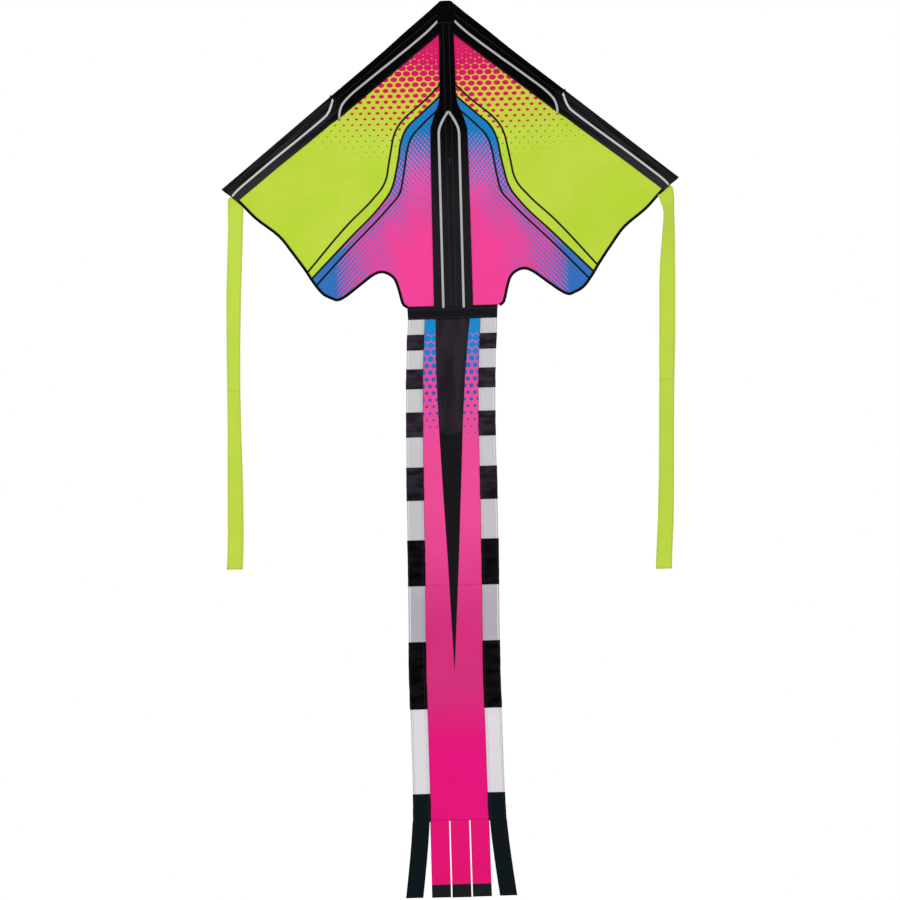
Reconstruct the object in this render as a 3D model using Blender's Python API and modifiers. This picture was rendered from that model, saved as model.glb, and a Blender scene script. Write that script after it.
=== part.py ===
"""Delta kite with a square-cut tail, hung upright by its nose.

The nose is the origin. +Z runs up the spine, +X is to the right seen from the front, and the printed
front faces -Y. The spine and the spreader lie behind the sail, and the keel stands forward of it.
Lengths below are millimetres, turned into metres by MM where objects are made.
"""

import math

import bmesh
import bpy
from mathutils import Matrix, Vector

MM = 0.001

# Sail
TIP = (584.0, -468.0)  # right wing tip; the nose is (0, 0)
SPINE_LENGTH = 784.0
CLOTH = 0.5  # thickness of every cloth layer
SEW_GAP = 0.4  # clearance between cloths that are sewn edge to edge
HINGE_TOP_X = 15.0  # where a wing's fold line leaves the nose
HINGE_FOOT_X = 115.0  # and where it meets the trailing edge
SLEEVE_WIDTH = 51.0  # leading-edge sleeve, across
SLEEVE_HINGE_GAP = 3.0
HEM_WIDTH = 6.0
HEM_THICKNESS = 1.0
TRAILING_EDGE = [  # right half, outer edge of the hem, from the tip to the fold line
    (543.0, -501.0),
    (500.0, -546.0),
    (444.0, -591.0),
    (408.0, -638.0),
    (378.0, -681.0),
    (358.0, -713.0),
    (335.0, -742.0),
    (310.0, -756.0),
    (294.0, -760.0),
    (271.0, -749.0),
    (232.0, -720.0),
    (200.0, -697.0),
    (177.0, -692.0),
    (153.0, -706.0),
    (142.0, -733.0),
    (133.0, -769.0),
    (125.0, -780.0),
    (116.8, -783.4),
]

# Rods
ROD_R = 2.5
SPINE_R = 3.0
CAP_WALL = 0.7
CAP_LENGTH = 16.0
FIT = 0.3  # radial clearance of a cap on its rod
POCKET_R = 4.4  # outside radius of the sleeve's rod pocket
ROD_START = 38.0  # along the leading edge
ROD_END = 740.0
SPINE_Y = 4.8  # the spine lies behind the sail
SPINE_SLEEVE_R = 3.9
SPREADER_Z = -238.0
SPREADER_Y = 12.0
SPREADER_OVERHANG = 8.0  # rod beyond the leading-edge rods
CONNECTOR_LENGTH = 26.0
WINDOW_LENGTH = 34.0  # opening in the back of the sleeve for the connector

# Keel
KEEL_TOP = -262.0
KEEL_FOOT = -730.0
TOW_POINT = (-205.0, -430.0)  # y, z
KEEL_AXIS_Y = -0.9
EYELET_HOLE_R = 5.0
EYELET_FLANGE_R = 10.0
EYELET_FLANGE = 1.0

# Tail
TAIL_TOP = -784.4
HEADER_FOOT = -813.0
TAIL_HALF = 114.0
STRIP_INNER = 74.0
PATCHES = [38.0, 41.0, 47.0, 52.0, 58.0, 65.0, 76.0, 86.0, 100.0, 118.0, 142.0, 173.0, 215.0]
MID_SEAM = 10  # the tail's second bend lies below this many patches
SLIT_TOP = -2095.0
TAIL_FOOT = -2290.0
TAB_EDGES = [-72.0, -26.0, -23.0, 23.0, 26.0, 72.0]  # the three inner tabs
OUTER_TAB = (75.0, 114.0)
BEND_GAP = 0.7  # above and below a bend's axis

# Streamers
STREAMER_X = 549.0
STREAMER_WIDTH = 38.0
STREAMER_TOP = -521.0
STREAMER_FOOT = -1445.0
STREAMER_Y = 1.6

BLACK = (0.012, 0.012, 0.014)
LIME = (0.49, 0.70, 0.045)
PINK = (0.90, 0.07, 0.33)
WHITE = (0.78, 0.78, 0.80)
ROD_GREY = (0.03, 0.03, 0.035)
VINYL = (0.02, 0.02, 0.02)


def clear_scene():
    for obj in list(bpy.data.objects):
        bpy.data.objects.remove(obj)


def new_collection(name, parent):
    made = bpy.data.collections.new(name)
    parent.children.link(made)
    return made


clear_scene()
KITE = new_collection("delta_kite", bpy.context.scene.collection)
CUTTERS = new_collection("cutters", bpy.context.scene.collection)


def paint(obj, colour, roughness):
    mat = bpy.data.materials.new(obj.name)
    mat.use_nodes = True
    shader = mat.node_tree.nodes["Principled BSDF"]
    shader.inputs["Base Color"].default_value = (*colour, 1.0)
    shader.inputs["Roughness"].default_value = roughness
    shader.inputs["Metallic"].default_value = 0.0
    obj.data.materials.append(mat)


def joint_empty(name, x, y, z, parent=None):
    """An empty on a joint's axis, which the moving pieces hang from."""
    empty = bpy.data.objects.new(name, None)
    empty.empty_display_size = 0.02
    KITE.objects.link(empty)
    empty.location = Vector((x, y, z)) * MM
    if parent:
        empty.parent = parent
        empty.matrix_parent_inverse = parent.matrix_basis.inverted()
    return empty


def keep(obj, empty, colour, roughness):
    """Gives a finished piece its material and hangs it on its body's empty, where it lies."""
    paint(obj, colour, roughness)
    obj.parent = empty
    obj.matrix_parent_inverse = empty.matrix_basis.inverted()


def turned(name, profile, middle, direction, steps=16):
    """A profile of (radius, height) turned round an axis through middle along direction."""
    mesh = bpy.data.meshes.new(name)
    bm = bmesh.new()
    verts = [bm.verts.new((r * MM, 0.0, h * MM)) for r, h in profile]
    for a, b in zip(verts, verts[1:]):
        bm.edges.new((a, b))
    if profile[0][0] > 0.0:
        bm.edges.new((verts[-1], verts[0]))
    bm.to_mesh(mesh)
    bm.free()
    obj = bpy.data.objects.new(name, mesh)
    KITE.objects.link(obj)
    screw = obj.modifiers.new("turn", "SCREW")
    screw.axis = "Z"
    screw.steps = steps
    screw.render_steps = steps
    screw.use_merge_vertices = True
    screw.merge_threshold = 0.00001
    obj.location = Vector(middle) * MM
    obj.rotation_mode = "QUATERNION"
    obj.rotation_quaternion = Vector(direction).to_track_quat("Z", "Y")
    return obj


def rod(name, start, end, radius, steps=16, collection=KITE):
    """A solid cylinder from start to end."""
    a, b = Vector(start), Vector(end)
    mesh = bpy.data.meshes.new(name)
    bm = bmesh.new()
    bmesh.ops.create_cone(
        bm,
        cap_ends=True,
        segments=steps,
        radius1=radius * MM,
        radius2=radius * MM,
        depth=(b - a).length * MM,
    )
    bm.to_mesh(mesh)
    bm.free()
    obj = bpy.data.objects.new(name, mesh)
    collection.objects.link(obj)
    obj.location = (a + b) / 2 * MM
    obj.rotation_mode = "QUATERNION"
    obj.rotation_quaternion = (b - a).to_track_quat("Z", "Y")
    return obj


def pipe(name, start, end, outer, inner):
    a, b = Vector(start), Vector(end)
    half = (b - a).length / 2
    profile = [(outer, half), (outer, -half), (inner, -half), (inner, half)]
    return turned(name, profile, (a + b) / 2, b - a)


def cap(name, rod_end, outward, rod_radius):
    """A vinyl cup over the end of a rod; outward points off the end of the rod."""
    inner = rod_radius + FIT
    outer = inner + CAP_WALL
    floor = FIT
    top = floor + CAP_WALL * 2
    mouth = top - CAP_LENGTH
    chamfer = 0.8
    profile = [
        (0.0, top),
        (outer - chamfer, top),
        (outer, top - chamfer),
        (outer, mouth),
        (inner, mouth),
        (inner, floor),
        (0.0, floor),
    ]
    return turned(name, profile, rod_end, outward)


def outline_curve(name, outlines, thickness):
    """A 2D curve filled between its outlines, drawn in its own XY plane."""
    curve = bpy.data.curves.new(name, "CURVE")
    curve.dimensions = "2D"
    curve.fill_mode = "BOTH"
    curve.extrude = thickness / 2 * MM
    for outline in outlines:
        spline = curve.splines.new("POLY")
        spline.points.add(len(outline) - 1)
        for point, (u, v) in zip(spline.points, outline):
            point.co = (u * MM, v * MM, 0.0, 1.0)
        spline.use_cyclic_u = True
    obj = bpy.data.objects.new(name, curve)
    KITE.objects.link(obj)
    return obj


def cloth(name, outline, y=0.0, thickness=CLOTH):
    """A flat cloth in the plane of the sail, from (x, z) points, with its middle at y."""
    obj = outline_curve(name, [outline], thickness)
    obj.rotation_euler = (math.pi / 2, 0.0, 0.0)
    obj.location = (0.0, y * MM, 0.0)
    return obj


def cloth_box(name, x0, x1, z0, z1, y=0.0, thickness=CLOTH):
    return cloth(name, [(x0, z0), (x1, z0), (x1, z1), (x0, z1)], y, thickness)


def to_mesh(obj):
    """The same piece as a mesh with its caps welded, ready to be cut."""
    bpy.context.view_layer.update()
    depsgraph = bpy.context.evaluated_depsgraph_get()
    mesh = bpy.data.meshes.new_from_object(obj.evaluated_get(depsgraph))
    bm = bmesh.new()
    bm.from_mesh(mesh)
    bmesh.ops.remove_doubles(bm, verts=bm.verts, dist=0.000001)
    bm.to_mesh(mesh)
    bm.free()
    made = bpy.data.objects.new(obj.name, mesh)
    made.matrix_world = obj.matrix_world.copy()
    home = obj.users_collection[0]
    name = obj.name
    bpy.data.objects.remove(obj)
    made.name = name
    home.objects.link(made)
    return made


def box_cutter(name, size, middle, axes=None):
    """A box of size (along its own axes) about middle; axes are its three directions."""
    mesh = bpy.data.meshes.new(name)
    bm = bmesh.new()
    bmesh.ops.create_cube(bm, size=1.0)
    bm.to_mesh(mesh)
    bm.free()
    obj = bpy.data.objects.new(name, mesh)
    turn = Matrix(axes).transposed().to_4x4() if axes else Matrix.Identity(4)
    place = Matrix.Translation(Vector(middle) * MM)
    obj.matrix_world = place @ turn @ Matrix.Diagonal((*(Vector(size) * MM), 1.0))
    CUTTERS.objects.link(obj)
    return obj


def combine(obj, tool, operation):
    tool.hide_render = True
    tool.display_type = "WIRE"
    modifier = obj.modifiers.new(tool.name, "BOOLEAN")
    modifier.operation = operation
    modifier.solver = "EXACT"
    modifier.object = tool


def smooth(points, per_span=3):
    """Points on a Catmull-Rom curve through the given points."""
    ends = [points[0], *points, points[-1]]
    made = []
    for a, b, c, d in zip(ends, ends[1:], ends[2:], ends[3:]):
        for step in range(per_span):
            t = step / per_span
            made.append(
                tuple(
                    0.5 * (2 * q + (r - p) * t + (2 * p - 5 * q + 4 * r - s) * t**2)
                    + 0.5 * (3 * q - p - 3 * r + s) * t**3
                    for p, q, r, s in zip(a, b, c, d)
                )
            )
    made.append(points[-1])
    return made


def inset(points, distance):
    """The line at a distance to the right of an open line of (x, z) points."""
    made = []
    for i, (x, z) in enumerate(points):
        x0, z0 = points[max(i - 1, 0)]
        x1, z1 = points[min(i + 1, len(points) - 1)]
        length = math.hypot(x1 - x0, z1 - z0)
        made.append((x + (z1 - z0) / length * distance, z - (x1 - x0) / length * distance))
    return made


def mirrored(points, side):
    return [(side * x, z) for x, z in points]


# Directions in the plane of the sail, for the right wing
EDGE_LENGTH = math.hypot(*TIP)
ALONG = (TIP[0] / EDGE_LENGTH, TIP[1] / EDGE_LENGTH)
INWARD = (ALONG[1], -ALONG[0])


def edge_point(side, along, inward, y=0.0):
    """A point measured from the nose along a leading edge, then inward across its sleeve."""
    x = ALONG[0] * along + INWARD[0] * inward
    z = ALONG[1] * along + INWARD[1] * inward
    return (side * x, y, z)


def hinge_x(z):
    """Distance of the right wing's fold line from the spine at height z."""
    return HINGE_TOP_X + (HINGE_FOOT_X - HINGE_TOP_X) * -z / SPINE_LENGTH


def hinge_meets_edge(inward, gap):
    """How far along the leading edge a line parallel to it crosses the fold line."""
    slope = (HINGE_FOOT_X - HINGE_TOP_X) / SPINE_LENGTH
    x0 = INWARD[0] * inward
    z0 = INWARD[1] * inward
    return (HINGE_TOP_X + gap - slope * z0 - x0) / (ALONG[0] + slope * ALONG[1])


def make_center():
    empty = joint_empty("center", 0.0, 0.0, 0.0)
    crossing = hinge_meets_edge(0.0, -SEW_GAP)
    shoulder = (ALONG[0] * crossing, ALONG[1] * crossing)
    nose_round = 5.0
    right = [
        (nose_round, -nose_round * 0.8 - 1.5),
        shoulder,
        (hinge_x(-SPINE_LENGTH) - SEW_GAP, -SPINE_LENGTH),
    ]
    left = [(-x, z) for x, z in reversed(right)]
    panel = cloth("center_sail_panel", [*right, *left, (0.0, -0.4)])
    keep(panel, empty, BLACK, 0.55)

    patch_foot = -58.0
    patch_y = -(CLOTH + SEW_GAP)
    inside = 1.0
    patch_right = [
        (nose_round, -nose_round * 0.8 - 2.5),
        (shoulder[0] - inside, shoulder[1] - inside),
        (hinge_x(patch_foot) - inside, patch_foot),
    ]
    patch_left = [(-x, z) for x, z in reversed(patch_right)]
    keep(cloth("nose_patch", patch_right + patch_left, patch_y), empty, BLACK, 0.6)

    rod_top = -12.0
    rod_foot = -782.0
    spine = rod("spine_rod", (0, SPINE_Y, rod_top), (0, SPINE_Y, rod_foot), SPINE_R)
    keep(spine, empty, ROD_GREY, 0.35)
    sleeve = pipe(
        "spine_sleeve",
        (0, SPINE_Y, rod_top - CAP_LENGTH - 2.0),
        (0, SPINE_Y, rod_foot + CAP_LENGTH + 2.0),
        SPINE_SLEEVE_R,
        SPINE_SLEEVE_R - CLOTH,
    )
    keep(sleeve, empty, BLACK, 0.6)
    top = cap("spine_top_cap", (0, SPINE_Y, rod_top), (0, 0, 1), SPINE_R)
    keep(top, empty, VINYL, 0.45)
    foot = cap("spine_bottom_cap", (0, SPINE_Y, rod_foot), (0, 0, -1), SPINE_R)
    keep(foot, empty, VINYL, 0.45)
    header = cloth_box("tail_header", -TAIL_HALF, TAIL_HALF, HEADER_FOOT, TAIL_TOP)
    keep(header, empty, BLACK, 0.6)
    return empty


def make_connector(name, side, crossing):
    """A moulded tee on the leading-edge rod, with a snap cradle open to the back."""
    along = Vector(edge_point(side, 1.0, 0.0)).normalized()
    ring_outer = ROD_R + FIT + 0.8
    reach = CONNECTOR_LENGTH / 2
    cradle_outer = 5.4
    cradle_inner = ROD_R + FIT + CAP_WALL + FIT
    mount = Vector((crossing.x, SPREADER_Y, crossing.z))
    across = Vector((reach - 1.0, 0, 0))
    body = rod(name, crossing - along * reach, crossing + along * reach, ring_outer)
    neck_foot = crossing + Vector((0, 1.3, 0))
    neck_top = mount - Vector((0, cradle_inner + 0.5, 0))
    neck = rod(name + "_neck", neck_foot, neck_top, SPINE_R, 14, CUTTERS)
    shell = rod(name + "_shell", mount - across, mount + across, cradle_outer, 20, CUTTERS)
    seat = rod(name + "_seat", mount - across * 1.5, mount + across * 1.5, cradle_inner, 20, CUTTERS)
    bore_end = along * CONNECTOR_LENGTH
    bore = rod(name + "_bore", crossing - bore_end, crossing + bore_end, ROD_R + FIT, 16, CUTTERS)
    depth = 10.0
    flare = 0.35  # the cradle's mouth is a little wider than its seat
    mouth = box_cutter(
        name + "_mouth",
        (CONNECTOR_LENGTH * 2, depth, (cradle_inner + flare) * 2),
        mount + Vector((0, depth / 2 + flare, 0)),
    )
    combine(body, neck, "UNION")
    combine(body, shell, "UNION")
    combine(body, seat, "DIFFERENCE")
    combine(body, mouth, "DIFFERENCE")
    combine(body, bore, "DIFFERENCE")
    return body


def make_sleeve(name, side):
    """The leading-edge sleeve: a flat band with a round pocket for the rod along its outer edge."""
    start = hinge_meets_edge(0.0, SLEEVE_HINGE_GAP)
    length = EDGE_LENGTH - start
    round_steps = 16
    lip = HEM_THICKNESS / 2  # two layers lie flat behind the pocket
    lip_angle = math.asin(lip / POCKET_R)
    outer = []
    for step in range(round_steps + 1):
        angle = lip_angle + (2 * math.pi - 2 * lip_angle) * step / round_steps
        outer.append((POCKET_R + POCKET_R * math.cos(angle), POCKET_R * math.sin(angle)))
    outer += [(SLEEVE_WIDTH, -lip), (SLEEVE_WIDTH, lip)]
    inner_r = POCKET_R - CLOTH
    bore = []
    for step in range(round_steps):
        angle = 2 * math.pi * step / round_steps
        bore.append((POCKET_R + inner_r * math.cos(angle), inner_r * math.sin(angle)))
    obj = outline_curve(name, [outer, bore], length)
    along = Vector(edge_point(side, 1.0, 0.0))
    inward = Vector(edge_point(side, 0.0, 1.0))
    through = along.cross(inward)
    turn = Matrix((inward, through, along)).transposed()
    if turn.determinant() < 0:
        turn = Matrix((inward, -through, along)).transposed()
    middle = Vector(edge_point(side, start + length / 2, 0.0)) * MM
    obj.matrix_world = Matrix.Translation(middle) @ turn.to_4x4()
    obj = to_mesh(obj)

    fold = Vector((side * (HINGE_FOOT_X - HINGE_TOP_X), 0.0, -SPINE_LENGTH)).normalized()
    off = Vector((side * -fold.z, 0.0, side * fold.x))
    width = 120.0
    nose_cut = box_cutter(
        name + "_nose_cut",
        (width, 40.0, 400.0),
        Vector((side * HINGE_TOP_X, 0.0, 0.0)) + off * (SLEEVE_HINGE_GAP - width / 2),
        (off, (0.0, 1.0, 0.0), off.cross(Vector((0.0, 1.0, 0.0)))),
    )
    combine(obj, nose_cut, "DIFFERENCE")
    return obj


def make_wing(side, label, center):
    """One wing: its cloth, sleeve, rod with caps, hem and connector."""
    empty = joint_empty(label + "_wing", side * HINGE_TOP_X, 0.0, 0.0, center)
    edge = smooth(TRAILING_EDGE)
    hem_inner = inset(edge, HEM_WIDTH)
    cloth_edge = inset(edge, HEM_WIDTH + SEW_GAP)
    inward = SLEEVE_WIDTH + SEW_GAP
    start = hinge_meets_edge(inward, SEW_GAP)
    top = (
        ALONG[0] * start + INWARD[0] * inward,
        ALONG[1] * start + INWARD[1] * inward,
    )
    tip_along = EDGE_LENGTH - HEM_WIDTH * 3
    tip = (
        ALONG[0] * tip_along + INWARD[0] * inward,
        ALONG[1] * tip_along + INWARD[1] * inward,
    )
    foot_z = cloth_edge[-1][1]
    foot = (hinge_x(foot_z) + SEW_GAP, foot_z)
    inner_part = [p for p in cloth_edge[1:] if p[0] > foot[0] + SEW_GAP]
    panel = cloth(label + "_wing_panel", mirrored([top, tip, *inner_part, foot], side))
    keep(panel, empty, LIME, 0.5)

    hem_line = mirrored([*edge, *reversed(hem_inner)], side)
    hem = cloth(label + "_trailing_edge_hem", hem_line, 0.0, HEM_THICKNESS)
    keep(hem, empty, BLACK, 0.6)

    start_point = Vector(edge_point(side, ROD_START, POCKET_R))
    end_point = Vector(edge_point(side, ROD_END, POCKET_R))
    along = (end_point - start_point).normalized()
    spar = rod(label + "_leading_edge_rod", start_point, end_point, ROD_R)
    keep(spar, empty, ROD_GREY, 0.35)
    root_cap = cap(label + "_leading_edge_nose_cap", start_point, -along, ROD_R)
    keep(root_cap, empty, VINYL, 0.45)
    tip_cap = cap(label + "_leading_edge_tip_cap", end_point, along, ROD_R)
    keep(tip_cap, empty, VINYL, 0.45)

    share = (SPREADER_Z - start_point.z) / (end_point.z - start_point.z)
    crossing = start_point.lerp(end_point, share)
    sleeve = make_sleeve(label + "_leading_edge_sleeve", side)
    window_depth = 8.0
    window = box_cutter(
        label + "_sleeve_window",
        (WINDOW_LENGTH, window_depth, POCKET_R * 2 + 2.0),
        crossing + Vector((0.0, window_depth / 2 + 0.9, 0.0)),
        (along, (0.0, 1.0, 0.0), along.cross(Vector((0.0, 1.0, 0.0)))),
    )
    combine(sleeve, window, "DIFFERENCE")
    keep(sleeve, empty, BLACK, 0.5)
    connector = make_connector(label + "_spreader_connector", side, crossing)
    keep(connector, empty, VINYL, 0.45)
    return empty, crossing.x


def make_streamer(side, label, wing):
    """Two lengths of ribbon, hinged to the hem and to each other."""
    middle = (STREAMER_TOP + STREAMER_FOOT) / 2
    x0 = side * STREAMER_X - STREAMER_WIDTH / 2
    x1 = side * STREAMER_X + STREAMER_WIDTH / 2
    upper_axis = (side * STREAMER_X, STREAMER_Y, STREAMER_TOP)
    upper = joint_empty(label + "_streamer_upper_body", *upper_axis, wing)
    lower = joint_empty(label + "_streamer_lower_body", upper_axis[0], STREAMER_Y, middle, upper)
    ribbon = cloth_box(
        label + "_streamer_upper", x0, x1, middle + BEND_GAP, STREAMER_TOP - BEND_GAP, STREAMER_Y
    )
    keep(ribbon, upper, LIME, 0.5)
    ribbon = cloth_box(
        label + "_streamer_lower", x0, x1, STREAMER_FOOT, middle - BEND_GAP, STREAMER_Y
    )
    keep(ribbon, lower, LIME, 0.5)


def make_spreader(center, reach):
    empty = joint_empty("spreader", 0.0, SPREADER_Y, SPREADER_Z, center)
    half = reach + SPREADER_OVERHANG
    left = Vector((-half, SPREADER_Y, SPREADER_Z))
    right = Vector((half, SPREADER_Y, SPREADER_Z))
    keep(rod("spreader_rod", left, right, ROD_R), empty, ROD_GREY, 0.35)
    keep(cap("left_spreader_cap", left, (-1, 0, 0), ROD_R), empty, VINYL, 0.45)
    keep(cap("right_spreader_cap", right, (1, 0, 0), ROD_R), empty, VINYL, 0.45)


def circle(y, z, radius, steps=24):
    turns = [2 * math.pi * step / steps for step in range(steps)]
    return [(y + radius * math.cos(a), z + radius * math.sin(a)) for a in turns]


def make_keel(center):
    empty = joint_empty("keel", 0.0, KEEL_AXIS_Y, KEEL_TOP, center)
    root_y = KEEL_AXIS_Y - SEW_GAP
    tow_y, tow_z = TOW_POINT
    margin = 17.0  # cloth beyond the eyelet's middle
    outline = [
        (root_y, KEEL_TOP),
        (root_y, KEEL_FOOT),
        (tow_y, tow_z - margin),
        (tow_y - margin * 0.7, tow_z - margin * 0.7),
        (tow_y - margin, tow_z),
        (tow_y - margin * 0.7, tow_z + margin * 0.7),
        (tow_y, tow_z + margin),
    ]
    barrel_r = EYELET_HOLE_R + 0.7
    hole = circle(tow_y, tow_z, barrel_r + FIT)
    panel = outline_curve("keel_panel", [outline, hole], CLOTH)
    panel.rotation_euler = (math.pi / 2, 0.0, math.pi / 2)
    keep(panel, empty, BLACK, 0.55)

    inside = CLOTH / 2 + FIT
    outside = inside + EYELET_FLANGE
    eyelet_profile = [
        (EYELET_HOLE_R, outside),
        (EYELET_FLANGE_R, outside),
        (EYELET_FLANGE_R, inside),
        (barrel_r, inside),
        (barrel_r, -outside),
        (EYELET_HOLE_R, -outside),
    ]
    eyelet = turned("tow_eyelet", eyelet_profile, (0, tow_y, tow_z), (1, 0, 0), 24)
    keep(eyelet, empty, BLACK, 0.35)
    washer_profile = [
        (EYELET_FLANGE_R, -inside),
        (EYELET_FLANGE_R, -outside),
        (barrel_r + FIT, -outside),
        (barrel_r + FIT, -inside),
    ]
    washer = turned("tow_eyelet_washer", washer_profile, (0, tow_y, tow_z), (1, 0, 0), 24)
    keep(washer, empty, BLACK, 0.35)


def make_tail(center):
    """The tail: two lengths and five fringe tabs, each hinged across its top edge."""
    seams = [HEADER_FOOT]
    for length in PATCHES:
        seams.append(seams[-1] - length)
    mid = seams[MID_SEAM]
    upper = joint_empty("tail_upper_body", 0.0, 0.0, HEADER_FOOT, center)
    lower = joint_empty("tail_lower_body", 0.0, 0.0, mid, upper)
    patch_y = -(CLOTH + SEW_GAP)
    lengths = {
        "upper": (upper, HEADER_FOOT - BEND_GAP, mid + BEND_GAP),
        "lower": (lower, mid - BEND_GAP, SLIT_TOP + BEND_GAP),
    }
    half = STRIP_INNER - SEW_GAP
    for part, (empty, top, foot) in lengths.items():
        keep(cloth_box("tail_panel_" + part, -half, half, foot, top), empty, PINK, 0.5)
        for side, label in ((-1, "left"), (1, "right")):
            x0, x1 = sorted((side * STRIP_INNER, side * TAIL_HALF))
            strip = cloth_box(f"{label}_tail_strip_{part}", x0, x1, foot, top)
            keep(strip, empty, WHITE, 0.5)

    for side, label in ((-1, "left"), (1, "right")):
        x0, x1 = sorted((side * STRIP_INNER, side * TAIL_HALF))
        blacks = [(seams[i], seams[i + 1]) for i in range(1, len(PATCHES), 2)]
        blacks.append((seams[-1], SLIT_TOP))
        for number, (top, foot) in enumerate(blacks, 1):
            empty = upper if foot >= mid else lower
            patch = cloth_box(
                f"{label}_tail_patch_{number}", x0, x1, foot + BEND_GAP, top - BEND_GAP, patch_y
            )
            keep(patch, empty, BLACK, 0.6)

    tabs = {
        "left_outer_tab": (-OUTER_TAB[1], -OUTER_TAB[0], BLACK),
        "left_inner_tab": (TAB_EDGES[0], TAB_EDGES[1], PINK),
        "middle_tab": (TAB_EDGES[2], TAB_EDGES[3], PINK),
        "right_inner_tab": (TAB_EDGES[4], TAB_EDGES[5], PINK),
        "right_outer_tab": (OUTER_TAB[0], OUTER_TAB[1], BLACK),
    }
    for name, (x0, x1, colour) in tabs.items():
        empty = joint_empty(name + "_body", (x0 + x1) / 2, 0.0, SLIT_TOP, lower)
        tab = cloth_box(name, x0, x1, TAIL_FOOT, SLIT_TOP - BEND_GAP)
        keep(tab, empty, colour, 0.55)


def main():
    center = make_center()
    for side, label in ((-1, "left"), (1, "right")):
        wing, connector_x = make_wing(side, label, center)
        make_streamer(side, label, wing)
    make_spreader(center, abs(connector_x))
    make_keel(center)
    make_tail(center)


main()
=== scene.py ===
"""Looks of the delta kite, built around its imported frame.

Shapes are worked out in millimetres in the frame's axes: +X right, -Y forward, +Z up, nose at the origin.
Every cloth keeps a UV map, "Flat", with its place on the flat cloth, and its print and weave read that.
"""

import math

import bpy
import numpy as np
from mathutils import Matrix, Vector, noise
from mathutils.geometry import delaunay_2d_cdt


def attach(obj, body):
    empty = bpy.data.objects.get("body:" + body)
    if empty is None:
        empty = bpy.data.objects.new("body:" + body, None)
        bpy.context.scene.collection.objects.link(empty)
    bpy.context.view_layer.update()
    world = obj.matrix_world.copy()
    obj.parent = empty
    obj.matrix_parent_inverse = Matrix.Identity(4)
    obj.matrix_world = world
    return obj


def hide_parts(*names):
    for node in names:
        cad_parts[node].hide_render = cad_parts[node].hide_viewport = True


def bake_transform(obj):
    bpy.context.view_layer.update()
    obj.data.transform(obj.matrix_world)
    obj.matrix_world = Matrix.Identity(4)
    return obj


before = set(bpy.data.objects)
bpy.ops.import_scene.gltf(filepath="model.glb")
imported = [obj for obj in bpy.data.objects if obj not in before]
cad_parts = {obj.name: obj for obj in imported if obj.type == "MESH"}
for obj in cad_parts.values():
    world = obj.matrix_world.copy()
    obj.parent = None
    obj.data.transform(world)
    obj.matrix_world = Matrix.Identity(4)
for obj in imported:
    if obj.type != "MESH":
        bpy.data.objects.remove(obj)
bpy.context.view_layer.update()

MM = 0.001
THREAD = 0.4  # thickness of one cloth layer
WEAVE_PITCH = 0.7

# Sail, in the plane of the front view
TIP = (584.0, -468.0)
EDGE_LENGTH = math.hypot(*TIP)
ALONG = (TIP[0] / EDGE_LENGTH, TIP[1] / EDGE_LENGTH)
INWARD = (ALONG[1], -ALONG[0])
SPINE_LENGTH = 784.0
HINGE_TOP_X = 15.0
HINGE_FOOT_X = 115.0
FOLD_REACH = 7.0  # how far either side of the fold line the cloth bends
TRAILING_EDGE = [
    (579.0, -472.0), (543.0, -501.0), (500.0, -546.0), (444.0, -591.0), (408.0, -638.0), (378.0, -681.0),
    (358.0, -713.0), (335.0, -742.0), (310.0, -756.0), (294.0, -760.0), (271.0, -749.0), (232.0, -720.0),
    (200.0, -697.0), (177.0, -692.0), (153.0, -706.0), (142.0, -733.0), (133.0, -769.0), (125.0, -780.0),
    (116.5, -783.6),
]

# Tail
HEADER_TOP = -784.4
HEADER_FOOT = -813.0
MID_SEAM = -1494.0
SLIT_TOP = -2095.0
TAIL_FOOT = -2290.0
TAIL_HALF = 114.0
STRIP_INNER = 74.0
TAIL_BEND = 28.0  # length of cloth that bends below each of the tail's hinge lines
LAP = 1.2  # how far one length of cloth runs down behind the next
LAP_DEPTH = 0.05
PATCHES = [
    (-851.0, -892.0), (-939.0, -991.0), (-1049.0, -1114.0), (-1190.0, -1276.0), (-1376.0, -1494.0),
    (-1636.0, -1809.0), (-2024.0, -2095.0),
]
UPPER_PATCHES = 5
TABS = {
    "left_outer_tab": (-114.0, -75.0),
    "left_inner_tab": (-72.0, -26.0),
    "middle_tab": (-23.0, 23.0),
    "right_inner_tab": (26.0, 72.0),
    "right_outer_tab": (75.0, 114.0),
}

# Streamers, keel and rods
STREAMER_X = 549.0
STREAMER_WIDTH = 41.0
STREAMER_TOP = -521.0
STREAMER_MID = -983.0
STREAMER_Y = 2.1
RIBBON_FEET = {"left": -1438.5, "right": -1466.0}
KEEL_TOP = -262.0
KEEL_FOOT = -730.0
TOW_Y = -205.0
TOW_Z = -430.0
SPINE_Y = 4.8
WINDOW_AT = 375.0  # along the leading edge, where the connector shows at the back
WINDOW_HALF = 17.0

SIDES = ((-1, "left"), (1, "right"))


# ---------------------------------------------------------------- fields


def linear(red, green, blue):
    """A colour from 0-255 screen values, as the light it stands for."""
    shares = [value / 255 for value in (red, green, blue)]
    return [share / 12.92 if share <= 0.04045 else ((share + 0.055) / 1.055) ** 2.4 for share in shares]


LIGHT_GAIN = 1.24  # how much brighter the lights show a cloth than its own colour
VEIL = 0.011  # light that the sheen and gloss of a coloured cloth add
BLACK_VEIL = 0.0022  # and of a black one, which is duller


def dye(red, green, blue, veil=VEIL):
    """A cloth's own colour, so that it shows as these screen values under the scene's lights."""
    return tuple(max(value - veil, 0.0004) / LIGHT_GAIN for value in linear(red, green, blue)) + (1.0,)


def ink(red, green, blue):
    """The same for black cloth and black print."""
    return dye(red, green, blue, BLACK_VEIL)


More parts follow.
